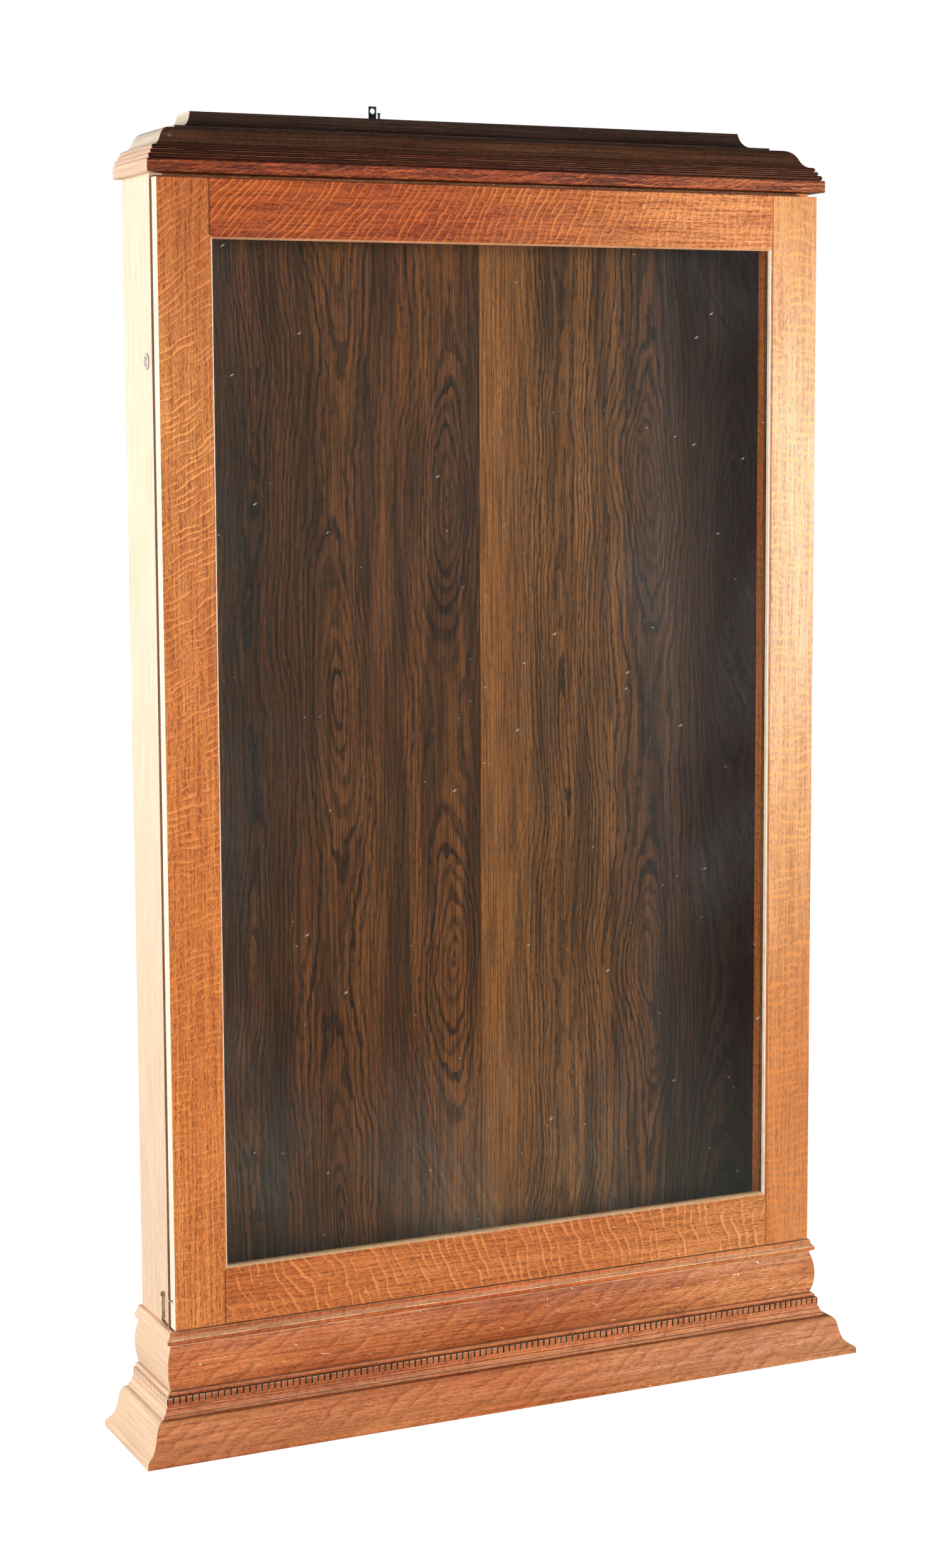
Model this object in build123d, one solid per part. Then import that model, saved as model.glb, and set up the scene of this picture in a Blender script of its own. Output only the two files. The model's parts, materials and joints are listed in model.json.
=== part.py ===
from build123d import *
import math
import os

# Wall showcase: a shallow oak case with one glazed door hinged on the right,
# a stepped receding cornice on top and a dentilled, flared base below.
#
# Axes: +X to the right of a person facing the door, +Y towards the wall, +Z up.
# Origin: centre of the bounding box in plan, on the underside of the base.
# All sizes in millimetres.

# ---------------------------------------------------------------- driving sizes
DOOR_W = 1000.0          # also the outside width of the case
DOOR_H = 1541.0
DOOR_T = 18.0
STILE_W = 72.0           # flat of a stile
RAIL_TOP_W = 72.5        # flat of the top rail
RAIL_BOT_W = 75.0        # flat of the bottom rail
STICK_W = 5.5            # moulded inner edge of the door frame
STICK_D = 7.0            # its depth from the door face
GLASS_T = 3.0
BASE_H = 171.2           # underside of base to bottom edge of door
DEPTH = 141.0            # door face to wall
CORE_SET = 10.6          # core plane of the front mouldings, behind the door face
PLINTH_P = 57.9          # largest projection of a moulding beyond the core plane
PANEL_T = 18.0           # case sides, top and bottom
CASE_GAP = 10.0          # door back to front edge of the case sides
BACK_T = 10.0            # back boards
SEAM_X = 22.0            # joint between the two back boards
DOOR_CLEAR = 0.3         # door back to stops and case hinge leaves
LAP = 0.01               # overlap that makes touching solids fuse

# Heights above the bottom edge of the door
BED_TOP = -3.1
FRIEZE_TOP = -22.1
DENTIL_TOP = -85.1
PLINTH_TOP = -116.9
CASE_TOP = 1547.2
CROWN_LOW = 1582.7       # underside of the lower crown
CROWN_MID = 1609.0       # joint between the two crowns
CROWN_TOP = 1635.8

# ---------------------------------------------------------------- derived planes
HALF_W = DOOR_W / 2
X_CASE = HALF_W - PANEL_T                   # inner face of a case side
X_STILE = HALF_W - STILE_W                  # inner edge of the stile flat
Y_WALL = (DEPTH + PLINTH_P - CORE_SET) / 2
Y_FACE = Y_WALL - DEPTH                     # door face
Y_CORE = Y_FACE + CORE_SET
Y_DOOR = Y_FACE + DOOR_T                    # door back
Y_CASE = Y_DOOR + CASE_GAP                  # front edge of the case sides
Y_BACK = Y_WALL - BACK_T                    # inner face of the back
Z_DOOR = BASE_H                             # bottom edge of the door
Z_DOOR_TOP = Z_DOOR + DOOR_H
Z_OPEN_BOT = Z_DOOR + RAIL_BOT_W            # opening between the rail flats
Z_OPEN_TOP = Z_DOOR_TOP - RAIL_TOP_W
Z_CASE_TOP = Z_DOOR + CASE_TOP
Z_CROWN_MID = Z_DOOR + CROWN_MID
Z_CROWN_TOP = Z_DOOR + CROWN_TOP

SIDES = ((-1, "left"), (1, "right"))
RIGHTWARDS, BACKWARDS, UP = (1, 0, 0), (0, 1, 0), (0, 0, 1)
LEFTWARDS, FORWARDS, DOWN = (-1, 0, 0), (0, -1, 0), (0, 0, -1)


# ---------------------------------------------------------------- helpers
def box(x0, x1, y0, y1, z0, z1):
    """Box between two corners; x and z limits may come in either order."""
    x0, x1 = sorted((x0, x1))
    z0, z1 = sorted((z0, z1))
    return Solid.make_box(x1 - x0, y1 - y0, z1 - z0).moved(Location((x0, y0, z0)))


def cyl(radius, start, direction, length):
    return Solid.make_cylinder(radius, length, Plane(origin=start, z_dir=direction))


def cone(radius0, radius1, start, direction, length):
    return Solid.make_cone(radius0, radius1, length, Plane(origin=start, z_dir=direction))


def prism(points, sweep):
    return Solid.extrude(Face(Wire.make_polygon(points, close=True)), Vector(*sweep))


def solids(shape):
    """Flat list of the solids in a shape or in nested lists of shapes."""
    if isinstance(shape, Solid):
        return [shape]
    if isinstance(shape, (list, tuple)):
        return [solid for item in shape for solid in solids(item)]
    return list(shape.solids())


def largest(shape):
    return sorted(solids(shape), key=lambda solid: -solid.volume)[0]


def cut(body, *tools):
    return largest(body.cut(*solids(tools)))


def fuse(body, *others):
    return largest(body.fuse(*solids(others)))


def common(body, other):
    return largest(body.intersect(other))


class Outline:
    """Closed outline drawn piece by piece from a start point in two coordinates."""

    def __init__(self, start):
        self.start = self.end = start
        self.pieces = []

    def add(self, make_edge, points):
        self.pieces.append((make_edge, [self.end, *points]))
        self.end = points[-1]
        return self

    def line(self, *points):
        for point in points:
            self.add(Edge.make_line, [point])
        return self

    def arc(self, mid, end):
        return self.add(Edge.make_three_point_arc, [mid, end])

    def bow(self, end, height):
        """Arc to end that bows by height to the left of the way there."""
        (x0, y0), (x1, y1) = self.end, end
        dx, dy = x1 - x0, y1 - y0
        chord = math.hypot(dx, dy)
        mid = ((x0 + x1) / 2 - dy / chord * height, (y0 + y1) / 2 + dx / chord * height)
        return self.arc(mid, end)

    def spline(self, *points):
        return self.add(lambda *places: Edge.make_spline([Vector(*p) for p in places]), points)

    def face(self, place):
        """Face with each outline point set in space by place(u, v)."""
        closed = self.pieces + [(Edge.make_line, [self.end, self.start])]
        return Face(Wire([make(*[place(*p) for p in points]) for make, points in closed]))

    def solid(self, place, sweep):
        return Solid.extrude(self.face(place), Vector(*sweep))


SCREW_HEAD_T, SCREW_SHANK_R = 1.7, 1.6
SCREW_TIP_L, SCREW_TIP_R = 2.0, 0.3
SLOT_L, SLOT_W, SLOT_D = 8.0, 0.7, 0.7   # driver slot


def set_screw(point, direction, slot_dir, length, head_r, into):
    """Countersunk screw, head face at point. Returns the slotted screw, then each
    solid of into with the unslotted screw cut out of it."""
    start, way = Vector(*point), Vector(*direction).normalized()
    body = fuse(cone(head_r, SCREW_SHANK_R, start, way, SCREW_HEAD_T),
                cyl(SCREW_SHANK_R, start + way * (SCREW_HEAD_T - LAP), way,
                    length - SCREW_HEAD_T - SCREW_TIP_L),
                cone(SCREW_SHANK_R, SCREW_TIP_R, start + way * (length - SCREW_TIP_L - 2 * LAP),
                     way, SCREW_TIP_L))
    slot = Solid.make_box(SLOT_L, SLOT_W, 2 * SLOT_D)
    slot = slot.moved(Location((-SLOT_L / 2, -SLOT_W / 2, -SLOT_D)))
    slot = slot.moved(Plane(origin=point, x_dir=slot_dir, z_dir=direction).location)
    return cut(body, slot), *[cut(solid, body) for solid in into]


def dome(base_r, height, point, direction):
    """Round head: spherical cap standing on point and facing direction."""
    sphere_r = (base_r ** 2 + height ** 2) / (2 * height)
    start, way = Vector(*point), Vector(*direction)
    centre = start + way * (height - sphere_r)
    sphere = Solid.make_sphere(sphere_r, Plane(origin=centre), angle1=-90, angle2=90, angle3=360)
    return common(sphere, cyl(base_r + 0.001, start, way, height + 1))


parts = {}

# ---------------------------------------------------------------- mouldings
REACH = 140.0            # how far the mitre planes run past the case corners
MITRE_GAP = 0.04
MITRE_Z, MITRE_H = -50, 2200


def ring(name, outline):
    """Front piece and two returns of a moulding, mitred at the front corners.
    Outline points are (projection beyond the core plane, height above door bottom)."""
    y_front, y_rear = Y_CORE - REACH, Y_CORE + REACH
    wide, narrow = HALF_W + REACH, HALF_W - REACH
    gap = MITRE_GAP

    def mitre(*corners):
        return prism([(x, y, MITRE_Z) for x, y in corners], (0, 0, MITRE_H))

    front = outline.solid(lambda p, h: (-wide, Y_CORE - p, Z_DOOR + h), (2 * wide, 0, 0))
    parts[name + "_front"] = common(front, mitre(
        (-wide + gap, y_front), (wide - gap, y_front),
        (narrow - gap, y_rear), (-narrow + gap, y_rear)))
    for side, side_name in SIDES:
        piece = outline.solid(lambda p, h: (side * (HALF_W + p), y_front, Z_DOOR + h),
                              (0, Y_WALL - y_front, 0))
        outer = side * (wide + REACH)
        parts[name + "_" + side_name] = common(piece, mitre(
            (side * (wide + gap), y_front), (side * (narrow + gap), y_rear),
            (side * (narrow + gap), Y_WALL + 50), (outer, Y_WALL + 50), (outer, y_front)))


# Bed moulding directly under the door: hollow top, then a square fillet.
ring("bed_moulding", Outline((0, BED_TOP))
     .line((6.2, BED_TOP))
     .arc((6.9, -3.5), (7.2, -4.3))
     .bow((11.4, -12.4), -1.3)
     .line((12.2, -13.2), (12.2, -18.0))
     .arc((12.0, -18.5), (11.5, -18.7))
     .line((8.0, -19.3), (6.6, -20.4), (6.6, FRIEZE_TOP), (0, FRIEZE_TOP)))

# Cushion frieze: long shallow convex face.
ring("frieze", Outline((0, FRIEZE_TOP))
     .line((6.2, FRIEZE_TOP))
     .arc((12.6, -53.6), (6.8, DENTIL_TOP))
     .line((0, DENTIL_TOP)))

# Dentil moulding: bead, dentil band, fillet and small hollow.
DENTIL_P = 15.8          # projection of the dentil band
DENTIL_PITCH = 9.2
DENTIL_SLOT_W, DENTIL_SLOT_D = 1.7, 3.4
DENTIL_SLOT_Z = (Z_DOOR - 100.6, Z_DOOR - 90.9)

ring("dentil_moulding", Outline((0, DENTIL_TOP))
     .line((9.6, DENTIL_TOP))
     .arc((12.6, -87.8), (11.4, -90.4))
     .line((11.4, -91.0), (15.2, -91.0), (DENTIL_P, -91.6), (DENTIL_P, -104.8),
           (17.6, -104.8), (17.6, -107.0))
     .bow((22.6, -113.4), -1.0)
     .line((23.1, -114.0), (23.1, PLINTH_TOP), (0, PLINTH_TOP)))


def cut_dentils():
    """Slots between the dentils, along the front and along both returns."""
    half = DENTIL_SLOT_W / 2
    floor = DENTIL_P - DENTIL_SLOT_D
    count = int((HALF_W + 12) / DENTIL_PITCH)     # slots each side of the middle one
    slots = [box(i * DENTIL_PITCH - half, i * DENTIL_PITCH + half,
                 Y_CORE - 20, Y_CORE - floor, *DENTIL_SLOT_Z)
             for i in range(-count, count + 1)]
    parts["dentil_moulding_front"] = cut(parts["dentil_moulding_front"], slots)
    first_y = Y_CORE - 6.0
    count = int((Y_WALL - 3 - first_y) / DENTIL_PITCH) + 1
    for side, side_name in SIDES:
        slots = []
        for i in range(count):
            y = first_y + i * DENTIL_PITCH
            slots.append(box(side * (HALF_W + floor), side * (HALF_W + 20),
                             y - half, y + half, *DENTIL_SLOT_Z))
        name = "dentil_moulding_" + side_name
        parts[name] = cut(parts[name], slots)


cut_dentils()

# Flared base: fillet, rounded shoulder, long hollow, then the flat plinth band.
ring("base_plinth", Outline((0, PLINTH_TOP))
     .line((26.6, PLINTH_TOP))
     .spline((31.2, -118.6), (35.0, -122.4), (37.0, -128.0), (38.6, -135.2),
             (40.4, -142.6), (43.0, -149.6), (47.0, -155.0), (52.0, -158.4), (55.6, -160.6))
     .arc((57.1, -161.9), (PLINTH_P, -163.4))
     .line((PLINTH_P, -170.2))
     .arc((57.7, -170.9), (57.0, -BASE_H))
     .line((0, -BASE_H)))

FASCIA_BACK = -60.0      # back of the fascia and lower crown, as a projection
CROWN_BACK = -100.0      # back of the upper crown

# Fascia with three small stepped reeds over it.
ring("cornice_fascia", Outline((FASCIA_BACK, CASE_TOP))
     .line((11.2, CASE_TOP))
     .arc((12.1, 1547.6), (12.5, 1548.6))
     .line((12.5, 1562.6))
     .arc((12.1, 1563.7), (11.0, 1564.1))
     .line((8.2, 1564.1), (8.2, 1565.0))
     .arc((9.6, 1567.8), (8.2, 1570.6))
     .line((8.2, 1571.3), (4.3, 1571.3), (4.3, 1571.9))
     .arc((5.5, 1574.2), (4.3, 1576.5))
     .line((4.3, 1577.0), (0.8, 1577.0), (0.8, 1577.6))
     .arc((2.3, 1580.0), (0.8, 1582.4))
     .line((0.0, CROWN_LOW), (FASCIA_BACK, CROWN_LOW)))

# Lower crown: spreads downwards in a round shoulder and a hollow.
ring("crown_lower", Outline((FASCIA_BACK, CROWN_LOW))
     .line((-0.2, CROWN_LOW), (-0.2, 1583.3))
     .spline((-5.6, 1584.2), (-9.6, 1587.0), (-12.9, 1591.2), (-15.2, 1596.0),
             (-18.4, 1601.2), (-23.2, 1605.9), (-29.4, 1608.6))
     .line((-31.3, CROWN_MID), (FASCIA_BACK, CROWN_MID)))

# Upper crown: fillet, ledge and a deep hollow up to the top edge.
ring("crown_upper", Outline((CROWN_BACK, CROWN_MID))
     .line((-45.8, CROWN_MID), (-45.8, 1612.7))
     .arc((-45.9, 1613.1), (-46.4, 1613.3))
     .line((-63.2, 1614.3))
     .spline((-69.8, 1617.0), (-74.3, 1621.4), (-77.4, 1627.6), (-79.2, 1634.6))
     .line((-79.4, CROWN_TOP), (CROWN_BACK, CROWN_TOP)))

# Board closing the top, between the upper crown pieces.
FIT = 0.1                # clearance to the crown timbers
TOP_BOARD_T = 12         # crown top to underside of the board
TOP_DROP = 0.4           # crown top to top of the board and of the back
X_LOWER_FIT = HALF_W + FASCIA_BACK - FIT
X_UPPER_FIT = HALF_W + CROWN_BACK - FIT
parts["cornice_top_board"] = box(
    -X_UPPER_FIT, X_UPPER_FIT, Y_CORE - CROWN_BACK + FIT, Y_BACK,
    Z_CROWN_TOP - TOP_BOARD_T, Z_CROWN_TOP - TOP_DROP)

# ---------------------------------------------------------------- case
REBATE = 8.0             # rebate in the case sides for the back boards
CASE_FLOOR = -2          # underside of the case bottom, from the door bottom
STOP_IN = 3.0            # door stops set back from the outside faces
STOP_TOP = 1544.0        # heights from the door bottom
STOP_TOP_LOW = 1529.2    # underside of the top stop
STOP_BOT_HIGH = 12.0     # upper face of the bottom stop


def side_panel(side):
    panel = box(side * HALF_W, side * X_CASE, Y_CASE, Y_WALL, 0, Z_CASE_TOP)
    return cut(panel, box(side * (X_CASE - 0.001), side * (X_CASE + REBATE + 0.001),
                          Y_BACK, Y_WALL + 1, -1, Z_CASE_TOP + 1))


def door_stop(x0, x1, low, high):
    """Strip between the door and the case edges."""
    return box(x0, x1, Y_DOOR + DOOR_CLEAR, Y_CASE, Z_DOOR + low, Z_DOOR + high)


for side, side_name in SIDES:
    parts["side_panel_" + side_name] = side_panel(side)
    parts["door_stop_" + side_name] = door_stop(
        side * (HALF_W - STOP_IN), side * X_CASE, BED_TOP, STOP_TOP)
parts["door_stop_top"] = door_stop(-X_CASE, X_CASE, STOP_TOP_LOW, STOP_TOP)
parts["door_stop_bottom"] = door_stop(-X_CASE, X_CASE, BED_TOP, STOP_BOT_HIGH)
parts["carcase_top"] = box(-X_CASE, X_CASE, Y_CASE, Y_BACK, Z_CASE_TOP - PANEL_T, Z_CASE_TOP)
parts["carcase_bottom"] = box(-X_CASE, X_CASE, Y_CASE, Y_BACK,
                              Z_DOOR + CASE_FLOOR, Z_DOOR + CASE_FLOOR + PANEL_T)
parts["base_front_board"] = box(-HALF_W, HALF_W, Y_CORE, Y_CASE, 0, Z_DOOR + BED_TOP)

BACK_Z = 4.0             # lower edge of the back boards
TONGUE_L, TONGUE_IN = 6, 3.5    # length; set in from both faces
BEVEL_W, BEVEL_D = 1.2, 1.4     # on each board along the joint


def back_boards():
    """Two boards meeting in a tongue and groove, let into the side rebates."""
    edge = X_CASE + REBATE - 0.2
    left = box(-edge, SEAM_X, Y_BACK, Y_WALL, BACK_Z, Z_CASE_TOP)
    right = box(SEAM_X, edge, Y_BACK, Y_WALL, BACK_Z, Z_CASE_TOP)
    left = fuse(left, box(SEAM_X - LAP, SEAM_X + TONGUE_L, Y_BACK + TONGUE_IN,
                          Y_WALL - TONGUE_IN, BACK_Z, Z_CASE_TOP - 0.5))
    right = cut(right, box(SEAM_X - 1, SEAM_X + TONGUE_L + 0.4, Y_BACK + TONGUE_IN - 0.1,
                           Y_WALL - TONGUE_IN + 0.1, BACK_Z - 1, Z_CASE_TOP + 1))
    # small bevel along the joint, on the inner face
    bevel = prism([(SEAM_X - BEVEL_W, Y_BACK - 0.01, BACK_Z - 1),
                   (SEAM_X + BEVEL_W, Y_BACK - 0.01, BACK_Z - 1),
                   (SEAM_X, Y_BACK + BEVEL_D, BACK_Z - 1)],
                  (0, 0, Z_CASE_TOP - BACK_Z + 2))
    left, right = cut(left, bevel), cut(right, bevel)

    # both boards run on upwards behind the cornice, between its returns
    def upper(side):
        return [box(side * x, SEAM_X, Y_BACK, Y_WALL, low - LAP, high)
                for x, low, high in ((X_LOWER_FIT, Z_CASE_TOP, Z_CROWN_MID),
                                     (X_UPPER_FIT, Z_CROWN_MID, Z_CROWN_TOP - TOP_DROP))]

    return fuse(left, upper(-1)), fuse(right, upper(1))


parts["back_board_left"], parts["back_board_right"] = back_boards()

# ---------------------------------------------------------------- door
ARRIS_R = 0.9
TENON_L, TENON_T = 30.0, 6.0
TENON_Y = Y_FACE + 8     # front of the tenons
TENON_OUT, TENON_IN = 14, 10    # tenon edges from the rail's outer and inner edges
MITRE_REACH = 20.0
STICK_MITRE_GAP, BEAD_MITRE_GAP = 0.03, 0.1
STICK_OVERRUN, BEAD_OVERRUN = 1, 0   # strip ends past the opening before mitring

# Name, outer edge, inner edge, direction from outer to inner edge along z
RAILS = (("bottom", Z_DOOR, Z_OPEN_BOT, 1), ("top", Z_DOOR_TOP, Z_OPEN_TOP, -1))

# Moulded edge of the frame: (distance into the opening, depth from face)
STICKING = (Outline((0, 0.9))
            .line((0.7, 0.9))
            .arc((3.9, 2.3), (5.0, 5.0))
            .line((STICK_W, 5.0), (STICK_W, STICK_D), (0, STICK_D)))

# Bead that holds the glass from behind, same columns
GLASS_Y = Y_FACE + STICK_D + 0.1
BEAD_FRONT = GLASS_Y + GLASS_T + 0.1 - Y_FACE
BEAD_REAR = DOOR_T - 0.4
BEAD = (Outline((0.1, BEAD_FRONT))
        .line((STICK_W, BEAD_FRONT), (STICK_W, BEAD_FRONT + 2.2))
        .arc((STICK_W - 1.2, BEAD_REAR - 1.6), (2.6, BEAD_REAR))
        .line((0.1, BEAD_REAR)))


def mitred(strip, corners):
    """Part of a strip within (x, z) corners, through the door's thickness."""
    return common(strip, prism([(x, Y_FACE - 1, z) for x, z in corners], (0, DOOR_T + 2, 0)))


def upright_strip(outline, side, overrun, gap):
    """Strip along a stile, mitred at both ends."""
    strip = outline.solid(
        lambda inward, depth: (side * (X_STILE - inward), Y_FACE + depth, Z_OPEN_BOT - overrun),
        (0, 0, Z_OPEN_TOP - Z_OPEN_BOT + 2 * overrun))
    outer, inner = side * (X_STILE + 1), side * (X_STILE - MITRE_REACH)
    return mitred(strip, [(outer, Z_OPEN_BOT - 1 + gap), (inner, Z_OPEN_BOT + MITRE_REACH + gap),
                          (inner, Z_OPEN_TOP - MITRE_REACH - gap), (outer, Z_OPEN_TOP + 1 - gap)])


def cross_strip(outline, edge_z, way, overrun, gap):
    """Strip along a rail, mitred at both ends."""
    strip = outline.solid(
        lambda inward, depth: (-X_STILE - overrun, Y_FACE + depth, edge_z + way * inward),
        (2 * (X_STILE + overrun), 0, 0))
    long, short = X_STILE + 1 - gap, X_STILE - MITRE_REACH - gap
    outer, inner = edge_z - way, edge_z + way * MITRE_REACH
    return mitred(strip, [(-long, outer), (long, outer), (short, inner), (-short, inner)])


def on_face(edge):
    return abs(edge.center().Y - Y_FACE) < 1e-3


def door_stile(side):
    stile = box(side * HALF_W, side * X_STILE, Y_FACE, Y_DOOR, Z_DOOR, Z_DOOR_TOP)
    # round the four edges of the front face
    stile = largest(stile.fillet(ARRIS_R, [e for e in stile.edges() if on_face(e)]))
    stile = fuse(stile, upright_strip(STICKING, side, STICK_OVERRUN, STICK_MITRE_GAP))
    for _, outer_z, inner_z, way in RAILS:
        stile = cut(stile, box(side * (X_STILE + TENON_L + 0.5), side * (X_STILE - 0.01),
                               TENON_Y - 0.05, TENON_Y + TENON_T + 0.05,
                               outer_z + way * (TENON_OUT - 0.1),
                               inner_z - way * (TENON_IN - 0.1)))
    return stile


def door_rail(outer_z, inner_z, way):
    rail = box(-X_STILE, X_STILE, Y_FACE, Y_DOOR, outer_z, inner_z)
    # round the outer edge of the front face
    arris = [e for e in rail.edges() if on_face(e) and abs(e.center().Z - outer_z) < 1e-3]
    rail = largest(rail.fillet(ARRIS_R, arris))
    rail = fuse(rail, cross_strip(STICKING, inner_z, way, STICK_OVERRUN, STICK_MITRE_GAP))
    return fuse(rail, box(-X_STILE - TENON_L, X_STILE + TENON_L, TENON_Y, TENON_Y + TENON_T,
                          outer_z + way * TENON_OUT, inner_z - way * TENON_IN))


for side, side_name in SIDES:
    parts["door_stile_" + side_name] = door_stile(side)
    parts["glazing_bead_" + side_name] = upright_strip(BEAD, side, BEAD_OVERRUN, BEAD_MITRE_GAP)
for rail_name, outer_z, inner_z, way in RAILS:
    parts["door_rail_" + rail_name] = door_rail(outer_z, inner_z, way)
    parts["glazing_bead_" + rail_name] = cross_strip(
        BEAD, inner_z, way, BEAD_OVERRUN, BEAD_MITRE_GAP)
GLASS_GAP = 0.4
parts["door_glass"] = box(-X_STILE + GLASS_GAP, X_STILE - GLASS_GAP, GLASS_Y, GLASS_Y + GLASS_T,
                          Z_OPEN_BOT + GLASS_GAP, Z_OPEN_TOP - GLASS_GAP)

# ---------------------------------------------------------------- hinges (right side)
HINGE_X, HINGE_Y = HALF_W + 3.4, Y_DOOR + DOOR_CLEAR / 2     # hinge axis
HINGE_Z = (Z_DOOR + 150.0, Z_DOOR + DOOR_H / 2, Z_DOOR_TOP - 150.0)
KNUCKLE_R, KNUCKLES, KNUCKLE_GAP = 3.2, 5, 0.15
PIN_R, PIN_HEAD_R = 1.5, 2.5
LEAF_T, LEAF_H, LEAF_IN = 2.0, 76.0, 17.5
LEAF_SCREW_IN = 10.0     # mean distance of the screws from the outside face
# Height from the hinge middle, shift in x
LEAF_SCREWS = ((-27.0, -1.6), (0.0, 1.6), (27.0, -1.6))
LEAF_HEAD_R = 3.1


def hinge_leaf(z0, y0, first):
    """Leaf with front face at y0 and every second knuckle, counted from first."""
    leaf = box(HALF_W - LEAF_IN, HALF_W - 0.1, y0, y0 + LEAF_T, z0, z0 + LEAF_H)
    pitch = LEAF_H / KNUCKLES
    for i in range(first, KNUCKLES, 2):
        low, high = z0 + i * pitch + KNUCKLE_GAP, z0 + (i + 1) * pitch - KNUCKLE_GAP
        leaf = fuse(leaf, cyl(KNUCKLE_R, (HINGE_X, HINGE_Y, low), UP, high - low),
                    box(HALF_W - 0.2, HINGE_X, y0, y0 + LEAF_T, low, high))
    return cut(leaf, cyl(PIN_R + 0.05, (HINGE_X, HINGE_Y, z0 - 5), UP, LEAF_H + 10))


def hinge_pin(z0):
    top = z0 + LEAF_H
    return fuse(cyl(PIN_R, (HINGE_X, HINGE_Y, z0 - 0.6), UP, LEAF_H + 0.7),
                cyl(PIN_HEAD_R, (HINGE_X, HINGE_Y, top + 0.05), UP, 1.2),
                cone(PIN_HEAD_R, 1.2, (HINGE_X, HINGE_Y, top + 1.24), UP, 0.9))


def hinges():
    stop, panel, stile = (parts[name] for name in
                          ("door_stop_right", "side_panel_right", "door_stile_right"))
    case_leaves, door_leaves, case_screws, door_screws = [], [], [], []
    recess_x = HALF_W - LEAF_IN - 0.05
    for hinge_z in HINGE_Z:
        z0 = hinge_z - LEAF_H / 2
        recess_z = (z0 - 0.05, z0 + LEAF_H + 0.05)
        case_leaf = hinge_leaf(z0, Y_DOOR + DOOR_CLEAR, 0)
        door_leaf = hinge_leaf(z0, Y_DOOR - LEAF_T, 1)
        stop = cut(stop, box(recess_x, HALF_W, Y_DOOR, Y_DOOR + DOOR_CLEAR + LEAF_T, *recess_z))
        stile = cut(stile, box(recess_x, HALF_W + 1, Y_DOOR - LEAF_T, Y_DOOR + 1, *recess_z))
        for dz, dx in LEAF_SCREWS:
            x, z = HALF_W - LEAF_SCREW_IN + dx, hinge_z + dz
            screw, case_leaf, stop, panel = set_screw(
                (x, Y_DOOR + DOOR_CLEAR, z), BACKWARDS, (0.8, 0, 0.6), 17.0, LEAF_HEAD_R,
                (case_leaf, stop, panel))
            case_screws.append(screw)
            screw, door_leaf, stile = set_screw(
                (x, Y_DOOR, z), FORWARDS, (0.8, 0, 0.6), 12.0, LEAF_HEAD_R,
                (door_leaf, stile))
            door_screws.append(screw)
        case_leaves.append(case_leaf)
        door_leaves.append(door_leaf)
    parts.update(door_stop_right=stop, side_panel_right=panel, door_stile_right=stile,
                 hinge_case_leaves=case_leaves, hinge_door_leaves=door_leaves,
                 hinge_pins=[hinge_pin(z - LEAF_H / 2) for z in HINGE_Z],
                 hinge_case_screws=case_screws, hinge_door_screws=door_screws)


hinges()

# ---------------------------------------------------------------- cam lock (left side)
LOCK_Y, LOCK_Z = Y_FACE + 50.0, Z_DOOR + 1304.0
FLANGE_R, BARREL_R, PLUG_R = 11.0, 9.2, 7.0
LOCK_X = -HALF_W - 1.2                       # outer face of the flange
BARREL_X, BARREL_L = -HALF_W - LAP, 27.0
BARREL_END = BARREL_X + BARREL_L
PLUG_END = BARREL_END + 0.59
KEYWAY_H, KEYWAY_W, KEYWAY_R, KEYWAY_L = 10.8, 1.5, 1.25, 19
WAFER_T, WAFER_PITCH = 1.0, 3.4
WAFER_SHIFTS = (-0.7, 0.5, -0.3, 0.8)        # window offsets in z
SQUARE, SQUARE_L = 4.0, 2.5                  # half width and length of the plug's square end
CAM_X, CAM_T, CAM_W, CAM_L = PLUG_END + 0.02, 2.5, 12.0, 27.0
CAM_SCREW_X = PLUG_END + 2.52
CAM_SCREW_R = 2.0
NUT_R, NUT_T = 14, 4.0                       # corner radius, thickness


def lock_cyl(radius, x, length, dy=0, dz=0):
    """Cylinder running to the right, set off from the lock axis."""
    return cyl(radius, (x, LOCK_Y + dy, LOCK_Z + dz), RIGHTWARDS, length)


def lock_box(x0, x1, half_y, half_z, dz=0):
    """Box centred on the lock axis, shifted by dz."""
    return box(x0, x1, LOCK_Y - half_y, LOCK_Y + half_y,
               LOCK_Z - half_z + dz, LOCK_Z + half_z + dz)


def lock_barrel():
    barrel = fuse(cone(FLANGE_R - 0.5, FLANGE_R, (LOCK_X, LOCK_Y, LOCK_Z), RIGHTWARDS, 0.4),
                  lock_cyl(FLANGE_R, LOCK_X + 0.39, 0.81),
                  lock_cyl(BARREL_R, BARREL_X, BARREL_L))
    return cut(barrel, lock_cyl(PLUG_R + 0.05, LOCK_X - 1, 40.0))


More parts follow.
